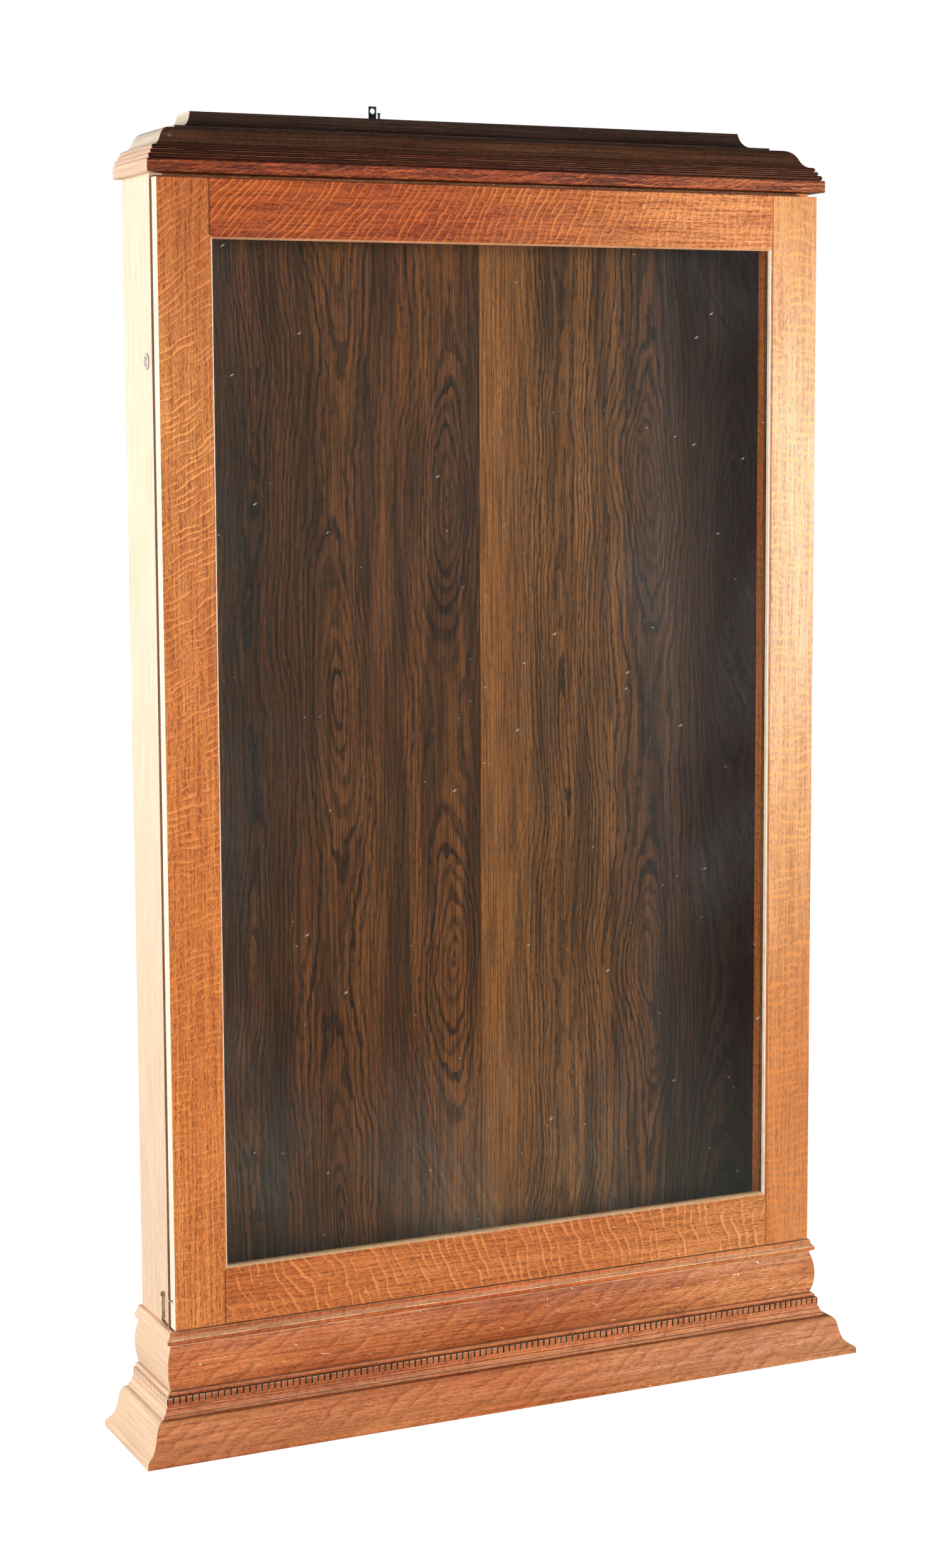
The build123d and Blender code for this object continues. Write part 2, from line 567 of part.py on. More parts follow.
def lock_plug_and_wafers():
    front = LOCK_X + 0.3
    plug = lock_cyl(PLUG_R, front, BARREL_END + 0.6 - front)
    # keyway: narrow slot with round ends, part way into the plug
    start, end_z = LOCK_X - 1, KEYWAY_H / 2 - KEYWAY_R
    plug = cut(plug,
               lock_box(start, start + KEYWAY_L, KEYWAY_W / 2, KEYWAY_H / 2 - 1.2),
               lock_cyl(KEYWAY_R, start, KEYWAY_L, dz=end_z),
               lock_cyl(KEYWAY_R, start, KEYWAY_L, dz=-end_z))
    # wafers slide in slots across the plug
    wafers = []
    for i, shift in enumerate(WAFER_SHIFTS):
        x = LOCK_X + 4.0 + i * WAFER_PITCH
        plug = cut(plug, lock_box(x - 0.05, x + WAFER_T + 0.05, 2.55, 6.35))
        wafers.append(cut(lock_box(x, x + WAFER_T, 2.5, 6.0),
                          lock_box(x - 1, x + WAFER_T + 1, 1.1, 3.2, shift)))
    # square end that carries the cam, bored for the cam screw
    plug = fuse(plug, lock_box(PLUG_END - LAP, PLUG_END + SQUARE_L, SQUARE, SQUARE))
    return cut(plug, lock_cyl(CAM_SCREW_R, CAM_SCREW_X - 8.2, 12)), wafers


def lock_cam():
    """Cam pointing forwards to the door."""
    cam = box(CAM_X, CAM_X + CAM_T, LOCK_Y - CAM_L + 4, LOCK_Y,
              LOCK_Z - CAM_W / 2, LOCK_Z + CAM_W / 2)
    cam = fuse(cam, lock_cyl(8.0, CAM_X, CAM_T))
    cam = fuse(cam, lock_cyl(CAM_W / 2, CAM_X, CAM_T, dy=CAM_W / 2 - CAM_L))
    return cut(cam, lock_box(CAM_X - 1, CAM_X + 1 + CAM_T, SQUARE + 0.02, SQUARE + 0.02))


def lock_cam_screw():
    screw = fuse(lock_cyl(5.4, CAM_SCREW_X, 1.6), lock_cyl(CAM_SCREW_R, CAM_SCREW_X - 8, 8.5))
    return cut(screw, lock_box(CAM_SCREW_X + 0.8, CAM_SCREW_X + 2, 6, 0.5))


def lock_nut():
    """Hexagonal fixing nut on the inside of the case side."""
    angles = [math.radians(60 * i + 30) for i in range(6)]
    nut = prism([(-X_CASE + 0.02, LOCK_Y + NUT_R * math.cos(a), LOCK_Z + NUT_R * math.sin(a))
                 for a in angles], (NUT_T, 0, 0))
    return cut(nut, lock_cyl(BARREL_R + 0.02, -X_CASE - 1, 10))


parts["side_panel_left"] = cut(parts["side_panel_left"],
                               lock_cyl(BARREL_R + 0.1, -HALF_W - 5, 40))
parts["lock_barrel"] = lock_barrel()
parts["lock_plug"], parts["lock_wafers"] = lock_plug_and_wafers()
parts["lock_nut"] = lock_nut()
parts["lock_cam"] = lock_cam()
parts["lock_cam_screw"] = lock_cam_screw()

KEEPER_X = CAM_X + CAM_T + 0.6               # left face of the leg
KEEPER_T, KEEPER_FOOT_L = 2.0, 20.0
KEEPER_Z = (LOCK_Z + 9.5, LOCK_Z + 33.5)
KEEPER_LIP_Y = LOCK_Y + CAM_W / 2 + 0.4      # front face of the lip
KEEPER_SCREWS = (6.0, 18.0)                  # heights above the lower edge


def lock_keeper():
    """Keeper on the back of the door: leg, foot and a lip that stands behind the
    raised cam."""
    leg_right, lip_rear = KEEPER_X + KEEPER_T, KEEPER_LIP_Y + KEEPER_T
    foot_rear = Y_DOOR + KEEPER_T
    keeper = box(KEEPER_X, leg_right, Y_DOOR, lip_rear, *KEEPER_Z)
    keeper = fuse(keeper,
                  box(KEEPER_X, KEEPER_X + KEEPER_FOOT_L, Y_DOOR, foot_rear, *KEEPER_Z),
                  box(CAM_X - 1.5, leg_right, KEEPER_LIP_Y, lip_rear, *KEEPER_Z))
    screws = []
    for dz in KEEPER_SCREWS:
        screw, keeper, parts["door_stile_left"] = set_screw(
            (KEEPER_X + 12.0, foot_rear, KEEPER_Z[0] + dz), FORWARDS, (0.6, 0, 0.8), 13.0, 3.1,
            (keeper, parts["door_stile_left"]))
        screws.append(screw)
    return keeper, screws


parts["lock_keeper"], parts["lock_keeper_screws"] = lock_keeper()

# ---------------------------------------------------------------- swing hook (left side, low)
PIVOT_Y, PIVOT_Z = Y_FACE + 45.0, Z_DOOR + 40.0
HOOK_R = 35.0                                # pivot to stud
HOOK_X, HOOK_T = -HALF_W - 3.1, 1.9          # outer face and thickness of the hook plate
THROAT = 1.75                                # half width of the channel for the stud
PIVOT_R, STUD_R = 1.5, 1.4
STUD_DROP = 0.5                              # stud below the pivot
STUD_Y = PIVOT_Y - math.sqrt(HOOK_R ** 2 - STUD_DROP ** 2)
STUD_Z = PIVOT_Z - STUD_DROP

# Hook outlines: (forwards from the pivot, down from the pivot)
HOOK_SHAFT = Outline((-1.35, 0)).line((-1.15, 25), (-1.5, 31.5), (1.5, 31.5), (1.15, 25),
                                      (1.35, 0))
# from the bend forwards to the finger nib
HOOK_FOOT = (Outline((-1.0, 36.4))
             .spline((4.0, 37.3), (9.0, 38.4), (14.5, 38.6))
             .line((15.6, 37.9), (16.3, 38.6), (15.4, 41.4), (14.2, 41.6))
             .spline((9.5, 41.0), (4.0, 40.2), (-1.0, 39.2)))
HOOK_CHANNEL = (Outline((0, HOOK_R - THROAT))
                .spline((3.0, HOOK_R - 2.2), (6.0, HOOK_R - 4.4))
                .line((14.0, HOOK_R - 4.4), (14.0, HOOK_R + 1.9), (9.0, 36.9))
                .spline((4.5, 36.85), (0, HOOK_R + THROAT)))


def latch_hook():
    """Hook plate, hanging open from its pivot."""
    def plate(outline, over=0):
        return outline.solid(lambda u, w: (HOOK_X - over, PIVOT_Y - u, PIVOT_Z - w),
                             (HOOK_T + 2 * over, 0, 0))

    def disc(u, w, radius, over=0):
        return cyl(radius, (HOOK_X - over, PIVOT_Y - u, PIVOT_Z - w), RIGHTWARDS,
                   HOOK_T + 2 * over)

    hook = fuse(disc(0, 0, 3.3), plate(HOOK_SHAFT), disc(-0.5, 27.2, 2.2),
                disc(0, HOOK_R, 4.25), plate(HOOK_FOOT))
    hook = cut(hook, disc(0, HOOK_R, THROAT, over=1), plate(HOOK_CHANNEL, over=1))
    return cut(hook, disc(0, 0, PIVOT_R + 0.06, over=1))


def latch_pivot_screw():
    """Domed screw with a collar between the hook and the case side."""
    head_x = HOOK_X - 0.15
    return fuse(dome(2.9, 2.8, (head_x, PIVOT_Y, PIVOT_Z), LEFTWARDS),
                cyl(PIVOT_R, (head_x - 0.05, PIVOT_Y, PIVOT_Z), RIGHTWARDS,
                    -HALF_W - head_x + 12.0),
                cyl(2.6, (-HALF_W - 1.05, PIVOT_Y, PIVOT_Z), RIGHTWARDS, 1.05))


def latch_stud():
    """Domed stud in the edge of the left stile."""
    return fuse(dome(2.7, 2.6, (HOOK_X - 0.5, STUD_Y, STUD_Z), LEFTWARDS),
                cyl(STUD_R, (HOOK_X - 0.55, STUD_Y, STUD_Z), RIGHTWARDS,
                    -HALF_W - HOOK_X + 0.55 + 14.0))


parts["latch_hook"] = latch_hook()
parts["latch_pivot_screw"] = latch_pivot_screw()
parts["side_panel_left"] = cut(parts["side_panel_left"],
                               cyl(PIVOT_R, (-HALF_W - 5, PIVOT_Y, PIVOT_Z), RIGHTWARDS, 17.0))
parts["latch_stud"] = latch_stud()
parts["door_stile_left"] = cut(parts["door_stile_left"],
                               cyl(STUD_R, (-HALF_W - 5, STUD_Y, STUD_Z), RIGHTWARDS, 19.0))

# ---------------------------------------------------------------- hanging strap (back, top)
STRAP_X, STRAP_W, STRAP_T = -135.0, 11.0, 2.0
STRAP_Z0, STRAP_Z1 = Z_DOOR + 1500.0, Z_DOOR + 1658.0
STRAP_CORNER_R = 3.0
HANG_HOLE_R, HANG_HOLE_Z = 3.9, Z_DOOR + 1651.6
HANG_HEAD_R = 3.0
# Height above the door bottom, length
STRAP_SCREWS = ((1538.0, 26.0), (1575.0, 9.6))


def hanging_strap():
    left, right = STRAP_X - STRAP_W / 2, STRAP_X + STRAP_W / 2
    front = Y_WALL - STRAP_T
    strap = box(left, right, front, Y_WALL, STRAP_Z0, STRAP_Z1)
    # round the two lower corners
    corners = [e for e in strap.edges()
               if abs(e.center().Y - (Y_WALL - STRAP_T / 2)) < 1e-3
               and e.center().Z < STRAP_Z0 + 1]
    strap = largest(strap.fillet(STRAP_CORNER_R, corners))
    strap = cut(strap, cyl(HANG_HOLE_R, (STRAP_X, Y_WALL - 5, HANG_HOLE_Z), BACKWARDS, 10))
    board = cut(parts["back_board_left"],
                box(left - 0.1, right + 0.1, front, Y_WALL + 1, STRAP_Z0 - 0.1, STRAP_Z1 + 1))
    screws = []
    for height, length in STRAP_SCREWS:
        screw, strap, board, parts["carcase_top"] = set_screw(
            (STRAP_X, Y_WALL, Z_DOOR + height), FORWARDS, (0.8, 0, 0.6), length, HANG_HEAD_R,
            (strap, board, parts["carcase_top"]))
        screws.append(screw)
    # loose screw left standing in the top board beside the strap
    screw, parts["cornice_top_board"] = set_screw(
        (-130.6, Y_WALL - 13.5, Z_DOOR + 1647.6), DOWN, (0.6, 0.8, 0), 20.0, HANG_HEAD_R,
        (parts["cornice_top_board"],))
    screws.append(screw)
    parts.update(hanger_strap=strap, back_board_left=board, hanger_screws=screws)


hanging_strap()

# ---------------------------------------------------------------- export
os.makedirs("parts", exist_ok=True)
for name, shape in parts.items():
    pieces = solids(shape)
    part = pieces[0] if len(pieces) == 1 else Compound(children=pieces)
    part.label = name
    export_step(part, "parts/" + name + ".step")
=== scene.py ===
# A tall, shallow oak display cabinet with a glazed door, a stepped cornice and a moulded base.
# It stands on z = 0 with its width along X, centred on x = 0. The front faces -Y, left is -X.
# Metres, except inside the wood and glass shaders, which work in millimetres.
import bpy, bmesh, math, json, random
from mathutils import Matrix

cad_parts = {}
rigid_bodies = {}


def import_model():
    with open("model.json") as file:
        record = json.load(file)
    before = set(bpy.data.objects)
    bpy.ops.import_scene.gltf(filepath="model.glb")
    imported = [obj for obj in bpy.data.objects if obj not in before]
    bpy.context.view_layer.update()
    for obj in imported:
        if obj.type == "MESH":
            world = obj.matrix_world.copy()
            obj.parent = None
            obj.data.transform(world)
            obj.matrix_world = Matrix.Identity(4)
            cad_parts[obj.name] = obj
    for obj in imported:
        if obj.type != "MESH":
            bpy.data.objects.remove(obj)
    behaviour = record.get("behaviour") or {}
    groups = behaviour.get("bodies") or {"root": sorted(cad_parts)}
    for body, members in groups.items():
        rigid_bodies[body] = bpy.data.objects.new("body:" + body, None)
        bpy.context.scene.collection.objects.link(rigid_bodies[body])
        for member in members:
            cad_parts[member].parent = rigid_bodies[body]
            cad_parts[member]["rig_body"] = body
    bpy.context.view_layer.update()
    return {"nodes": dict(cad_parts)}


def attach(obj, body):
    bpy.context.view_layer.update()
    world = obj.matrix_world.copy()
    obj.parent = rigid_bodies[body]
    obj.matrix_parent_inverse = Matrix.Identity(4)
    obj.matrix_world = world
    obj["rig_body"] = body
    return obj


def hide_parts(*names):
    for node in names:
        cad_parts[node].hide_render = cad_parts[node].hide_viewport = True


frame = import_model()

from types import SimpleNamespace
from mathutils import Vector, Matrix

NODES = frame["nodes"]

DATUM_Y = -0.04685            # the camera's depth is taken from here
DATUM_Z = 0.1712              # heights on the door and mouldings and of the camera start here
TOP_Z = DATUM_Z + 1.541       # height that places the lip of the top rail
MOULDING_Y = -0.03625         # depth that places the dentil slots
SLOT_PITCH_MM = 9.2
WORLD_SIDE, WORLD_TOP = 0.34, 0.05   # brightness of the surroundings at the horizon and high up


# ---------------------------------------------------------------- node helpers
# Every helper adds its nodes to `tree`, the node tree opened last.
class Value:
    """An output socket; arithmetic on it adds Math nodes."""

    def __init__(self, socket):
        self.socket = socket

    def __add__(self, other):
        return math_node("ADD", self, other)

    def __radd__(self, other):
        return math_node("ADD", other, self)

    def __sub__(self, other):
        return math_node("SUBTRACT", self, other)

    def __rsub__(self, other):
        return math_node("SUBTRACT", other, self)

    def __mul__(self, other):
        return math_node("MULTIPLY", self, other)

    def __truediv__(self, other):
        return math_node("DIVIDE", self, other)

    def __abs__(self):
        return math_node("ABSOLUTE", self)


def open_material(name):
    global tree
    material = bpy.data.materials.new(name)
    material.use_nodes = True
    tree = material.node_tree
    tree.nodes.clear()
    return material


def put(socket, value):
    """Link a Value to the socket, or store a number, vector or colour in it."""
    if isinstance(value, Value):
        tree.links.new(value.socket, socket)
        return
    if socket.type == "RGBA" and len(value) == 3:
        value = (*value, 1.0)
    socket.default_value = value


def node(kind, inputs=None, output=0, **settings):
    """Add a node; inputs maps a socket's name or index to what goes into it."""
    new = tree.nodes.new(kind)
    for key, value in settings.items():
        setattr(new, key, value)
    for key, value in (inputs or {}).items():
        put(new.inputs[key], value)
    return Value(new.outputs[output])


def math_node(operation, *values):
    return node("ShaderNodeMath", dict(enumerate(values)), operation=operation)


def mul_add(value, factor, addend):
    return math_node("MULTIPLY_ADD", value, factor, addend)


def maximum(first, second):
    return math_node("MAXIMUM", first, second)


def radius(a, b):
    return math_node("SQRT", mul_add(a, a, b * b))


def multiply_vectors(first, second):
    return node("ShaderNodeVectorMath", {0: first, 1: second}, operation="MULTIPLY")


def scale_vector(vector, factor):
    return node("ShaderNodeVectorMath", {0: vector, "Scale": factor}, operation="SCALE")


def split(vector):
    outputs = node("ShaderNodeSeparateXYZ", {0: vector}).socket.node.outputs
    return [Value(socket) for socket in outputs]


def vec(x, y, z):
    return node("ShaderNodeCombineXYZ", {0: x, 1: y, 2: z})


def object_position():
    return node("ShaderNodeTexCoord", output="Object")


def surface_normal():
    return split(node("ShaderNodeNewGeometry", output="Normal"))


def noise(vector, scale=1.0, detail=1.0, rough=0.5, distortion=0.0):
    inputs = {"Vector": vector, "Scale": scale, "Detail": detail, "Roughness": rough,
              "Distortion": distortion}
    return node("ShaderNodeTexNoise", inputs, "Fac")


def sized(u, u_size, v, v_size, layer):
    """Texture vector whose features measure u_size by v_size; layer picks an own slice."""
    return vec(u * (1 / u_size), v * (1 / v_size), layer)


def streaks(u, u_size, v, v_size, layer, detail=1.0, rough=0.5, distortion=0.0):
    return noise(sized(u, u_size, v, v_size, layer), 1.0, detail, rough, distortion)


def cells(u, u_size, v, v_size, layer):
    """Distance to scattered points, one to a cell of the given size."""
    inputs = {"Vector": sized(u, u_size, v, v_size, layer), "Scale": 1.0, "Randomness": 1.0}
    return node("ShaderNodeTexVoronoi", inputs, "Distance")


def step(value, start, end, out_start=0.0, out_end=1.0, kind="SMOOTHSTEP"):
    """Go from out_start to out_end while value goes from start to end (which may be lower)."""
    inputs = {"Value": value, "From Min": start, "From Max": end, "To Min": out_start,
              "To Max": out_end}
    return node("ShaderNodeMapRange", inputs, "Result", interpolation_type=kind)


def mix(factor, first, second):
    return node("ShaderNodeMix", {0: factor, 6: first, 7: second}, 2, data_type="RGBA",
                clamp_factor=True)


def mix_numbers(factor, first, second):
    return node("ShaderNodeMix", {0: factor, 2: first, 3: second}, data_type="FLOAT")


def mix_shaders(factor, first, second):
    return node("ShaderNodeMixShader", {0: factor, 1: first, 2: second})


def arris():
    """1 on the small rounded face of an arris, 0 on the flats (written by refine)."""
    return node("ShaderNodeAttribute", output="Fac", attribute_name="arris",
                attribute_type="GEOMETRY")


def bump(height, strength, distance):
    return node("ShaderNodeBump", {"Strength": strength, "Distance": distance, "Height": height})


def surface(shader):
    output = tree.nodes.new("ShaderNodeOutputMaterial")
    tree.links.new(shader.socket, output.inputs[0])


def principled(**inputs):
    named = {key.replace("_", " "): value for key, value in inputs.items()}
    surface(node("ShaderNodeBsdfPrincipled", named))


def srgb(*channels):
    """Linear colour from 0-255 sRGB channels."""
    def linear(c):
        return c / 255 / 12.92 if c / 255 <= 0.04045 else ((c / 255 + 0.055) / 1.055) ** 2.4
    return tuple(linear(c) for c in channels)


def scaled(color, factor):
    return tuple(min(1.0, channel * factor) for channel in color)


# ---------------------------------------------------------------- quarter-sawn oak
OAK = dict(
    # wood tones (all colours here are sRGB) and the strength of the rings and pores
    base=(198, 112, 56), dark=(150, 72, 30), light=(228, 150, 88), grain_amt=0.5, pores=0.8,
    # ray flecks: colours and angle to the grain in degrees. With ray_angle2 the angle turns
    # over ray_span along the grain, around ray_centre (mm across it).
    ray_color=(236, 152, 86), ray_dark=(150, 58, 22), ray_angle=70.0, ray_angle2=None,
    ray_span=None, ray_centre=None,
    # length, spacing and half width of flecks, width of their edge line (mm), bending,
    # threshold below which a fleck breaks off, step() arguments that thin them along the piece
    ray_len=55.0, ray_w=14.0, ray_half=1.7, line_w=0.7, warp=1.0, ray_gap=0.46, ray_fade=None,
    # strength of the fleck, of its edge line and of the shade beside it
    ray_amt=0.7, ray_line=0.5, ray_shade=0.4,
    # (position along the grain, RGB gain) points that tint the piece from end to end: partly its
    # own tone, partly painted light and painted sheen
    gains=None,
    # darkening with height: start, end, amount
    top_dark=None,
    # strips by the glass opening: pale ones are painted highlights, dark ones are darker lines
    # beside them; axis, low, high, colour, amount
    lips=(),
    # painted light on left-facing surfaces: colour, amount
    left_face=None,
    # painted shade in the dentil slots: depth axis, outer and inner depth, low and high z
    slots=None,
    # painted shade lines in creases: height, half width, amount
    grooves=(),
    # dust on top faces, wear on arrises (with painted highlight), soot in streaks, painted shade
    # on undersides
    dust=0.0, dust_color=(232, 190, 152), wear=0.5, wear_color=(240, 196, 150), soot=0.0,
    under=0.0,
    # painted glare of the light from the left on all but right-facing surfaces; its _low entry
    # is the amount near the floor
    fade=0.0, fade_low=None, fade_color=(247, 226, 190),
    # nicks in the varnish: strength, and threshold above which patches have scratches
    nicks=0.35, nick_cut=0.68,
    # varnish
    rough=0.42, spec=0.28, coat=0.06)


def grain_coords(position, grain, face, seed, outward):
    """Millimetres along and across the grain on the face, moved by the seed."""
    place = dict(zip("XYZ", split(position)))
    across = place[face.replace(grain, "")]
    # On mouldings the across coordinate runs on over the depth. They step outward going down,
    # so the two terms add up; outward is -1 on the right-hand side.
    if grain != "Z":
        depth = place["Y" if face == "XZ" else "X"]
        across = across + depth * (0.6 * outward)
    rnd = random.Random(seed)
    along = mul_add(place[grain], 1000.0, rnd.uniform(-4000, 4000))
    return along, mul_add(across, 1000.0, rnd.uniform(-4000, 4000))


def oak_grain(wood):
    """Colour of the bare grain, with the masks that later layers share."""
    u, v = wood.u, wood.v
    broad = streaks(u, 420, v, 60, layer=0.0, detail=2, rough=0.55, distortion=0.6)
    color = mix(step(broad, 0.32, 0.70), scaled(wood.base, 0.84), scaled(wood.light, 0.98))
    wood.mottle = streaks(u, 30, v, 12, layer=3.3, detail=3, rough=0.6, distortion=0.4)
    color = mix(step(wood.mottle, 0.34, 0.68, 0.0, 0.55), color, wood.base)
    # growth rings seen on edge: close straight lines along the grain
    wavy = mul_add(streaks(u, 160, v, 40, layer=1.7), 9.0, v)
    wood.rings = streaks(u, 200, wavy, 3.4, layer=5.1, detail=2, rough=0.65)
    ring = step(wood.rings, 0.38, 0.62)
    color = mix(ring * wood.grain_amt, color, wood.dark)
    color = mix((1.0 - ring) * 0.22, color, wood.light)
    # pores: short dark dashes, fewer between the rings
    dashes = streaks(u, 6.5, wavy, 1.5, layer=9.4, detail=2, rough=0.75)
    wood.pore = step(dashes, 0.48, 0.60) * mul_add(ring, 0.40, 0.60)
    return color


def ray_flecks(wood, color):
    """Pale flecks across the grain, with a dark edge line and a shaded side; then the pores."""
    u, v = wood.u, wood.v
    bend = streaks(u, 95, v, 80, layer=12.0)
    ripple = streaks(u, 20, v, 20, layer=22.0)
    angle = math.radians(wood.ray_angle)
    if wood.ray_angle2 is None:
        cosine, sine = math.cos(angle), math.sin(angle)
        along = u * cosine + v * sine
        across = v * cosine - u * sine
    else:
        # cross-grain lines sheared by a slope that varies along the grain
        slopes = 1.0 / math.tan(angle), 1.0 / math.tan(math.radians(wood.ray_angle2))
        slope = step(wood.place[wood.grain], *wood.ray_span, *slopes, "LINEAR")
        from_centre = wood.place[wood.face.replace(wood.grain, "")] * 1000.0 - wood.ray_centre
        along = v
        across = from_centre * slope - u
    across = mul_add(bend - 0.5, 44.0 * wood.warp, across)
    across = mul_add(ripple - 0.5, 10.0 * wood.warp, across)
    # one fleck to a row, off centre by a random amount
    rows = across * (1.0 / wood.ray_w)
    row = math_node("FLOOR", rows)
    jitter = noise(vec(row * 3.37, 7.0, 0.0), detail=0)
    offset = (math_node("FRACT", rows) - 0.5 - (jitter - 0.5) * 0.9) * wood.ray_w
    strength = noise(vec(along * (1 / wood.ray_len), row * 1.73, 31.0))
    patches = step(streaks(u, 110, v, 60, layer=41.0), 0.28, 0.56, 0.45, 1.0)
    present = patches * step(strength, wood.ray_gap - 0.06, wood.ray_gap + 0.06)
    if wood.ray_fade:
        present = present * step(wood.place[wood.grain], *wood.ray_fade)
    # the fleck swells and thins along its length
    half = step(strength, wood.ray_gap - 0.05, 0.62, wood.ray_half * 0.45, wood.ray_half * 1.25,
                "LINEAR")
    fleck = step(abs(offset) / half, 1.15, 0.45) * present
    edge = offset - half
    if wood.ray_shade > 0:
        side = step(edge, -0.3, 0.6) * step(edge, wood.ray_w * 0.42, 0.8) * present
        color = mix(side * wood.ray_shade, color, wood.dark)
    color = mix(fleck * wood.ray_amt, color, srgb(*wood.ray_color))
    if wood.ray_line > 0:
        line = step(abs(edge - 0.1), wood.line_w, wood.line_w * 0.3) * present
        color = mix(line * wood.ray_line, color, srgb(*wood.ray_dark))
    pore_amt = mix_numbers(fleck, wood.pores, wood.pores * 0.45)
    return mix(wood.pore * pore_amt, color, scaled(wood.dark, 0.50))


def varnish_nicks(wood, color):
    """Short curved scratches in patches, and specks."""
    curves = streaks(wood.u, 32.3, wood.v, 9.35, layer=57.0, detail=0)
    patches = streaks(wood.u, 23, wood.v, 15, layer=55.0)
    scratch = (step(abs(curves - 0.5), 0.020, 0.008)
               * step(patches, wood.nick_cut, wood.nick_cut + 0.03))
    points = cells(wood.u, 31, wood.v, 27, layer=51.0)
    nick = maximum(scratch, step(points, 0.050, 0.030) * step(patches, 0.46, 0.52))
    return mix(nick * wood.nicks, color, srgb(244, 222, 196))


def paint_light_and_tone_along(wood, color):
    """Multiply by the gains, which carry tone, painted light and painted sheen along the piece.
    The ramp holds a third of each, so that gains up to 3 fit.
    """
    start, end = wood.gains[0][0], wood.gains[-1][0]
    fraction = step(wood.place[wood.grain], start, end, kind="LINEAR")
    ramp = node("ShaderNodeValToRGB", {0: fraction})
    points = ramp.socket.node.color_ramp.elements
    points.remove(points[-1])
    for index, (place, gain) in enumerate(wood.gains):
        position = (place - start) / (end - start)
        point = points.new(position) if index else points[0]
        point.position = position
        point.color = (*(min(1.0, channel / 3.0) for channel in gain), 1.0)
    return multiply_vectors(color, scale_vector(ramp, 3.0))


def paint_lip_strip(wood, color, axis, low, high, lip_color, amount):
    # pale strips are painted highlights along the edges of the opening
    soft = 0.0003
    place, z = wood.place[axis], wood.place["Z"]
    mask = step(place, low - soft, low + soft) * step(place, high + soft, high - soft)
    # on a stile the lip runs only between the rails
    if wood.grain == "Z":
        mask = mask * (step(z, DATUM_Z + 0.0700, DATUM_Z + 0.0740)
                       * step(z, DATUM_Z + 1.4730, DATUM_Z + 1.4690))
    mask = mask * step(wood.mottle, 0.25, 0.60, 0.62, 1.0)
    return mix(mask * amount, color, srgb(*lip_color))


def paint_slot_shade(wood, color):
    """Painted shade: dark slot floors, and dark bands along both edges of each slot that make
    the slots read wider than they are cut.
    """
    axis, outer, inner, low, high = wood.slots
    z = wood.place["Z"]
    band = step(z, low, low + 0.0002) * step(z, high, high - 0.0002)
    mask = step(wood.place[axis], outer, inner) * band
    if axis == "Y":
        run, start = wood.place["X"], 0.0
    else:
        run, start = wood.place["Y"], MOULDING_Y - 0.006
    phase = math_node("FRACT", mul_add(run - start, 1000.0 / SLOT_PITCH_MM, 0.5))
    edges = step(abs(phase - 0.5), 0.205, 0.155)
    mask = maximum(mask, edges * band * 0.9)
    return mix(mask * 0.97, color, srgb(24, 14, 10))


def wear_dirt_and_painted_light(wood, color, position, normal):
    """Wear on arrises (with painted highlight), dust, soot, painted shade on undersides and in
    creases, and painted glare, in that order.
    """
    u, v = wood.u, wood.v
    nx, _, nz = normal
    patches = streaks(u, 36, v, 12, layer=61.0, detail=3, rough=0.65)
    # pale arrises: wear, and painted highlight along them
    worn_and_lit = arris() * step(patches, 0.34, 0.60, 0.25, 1.0)
    color = mix(worn_and_lit * wood.wear, color, srgb(*wood.wear_color))
    if wood.dust > 0:
        grit = noise(multiply_vectors(position, (120.0, 300.0, 300.0)), detail=4, rough=0.7)
        dusty = step(nz, 0.10, 0.85) * step(grit, 0.34, 0.66, 0.35, 1.0)
        color = mix(dusty * wood.dust, color, srgb(*wood.dust_color))
    if wood.soot > 0:
        smudge = streaks(u, 55, v, 9, layer=75.0, detail=3, rough=0.65, distortion=0.8)
        color = mix(step(smudge, 0.48, 0.66) * wood.soot, color, scaled(wood.dark, 0.35))
    # painted shade on down-facing surfaces
    if wood.under > 0:
        color = mix(step(nz, -0.10, -0.75, 0.0, wood.under), color, scaled(wood.dark, 0.45))
    # painted shade lines in the creases between mouldings
    for height, half, amount in wood.grooves:
        crease_shade = step(abs(wood.place["Z"] - height), half, half * 0.35)
        crease_shade = crease_shade * (step(patches, 0.25, 0.60, 0.6, 1.0) * amount)
        color = mix(crease_shade, color, scaled(wood.dark, 0.35))
    # painted glare: all but right-facing surfaces washed pale as if by the light from the left
    if wood.fade > 0:
        amount = wood.fade
        if wood.fade_low is not None:
            amount = step(wood.place["Z"], 0.15, 1.5, wood.fade_low, wood.fade)
        fine = streaks(u, 140, v, 2.2, layer=91.0, detail=2, rough=0.6)
        pale = srgb(*wood.fade_color)
        glare = mix(step(fine, 0.36, 0.66), pale, scaled(pale, 0.78))
        color = mix(step(nx, 0.30, -0.10) * amount, color, glare)
    return color


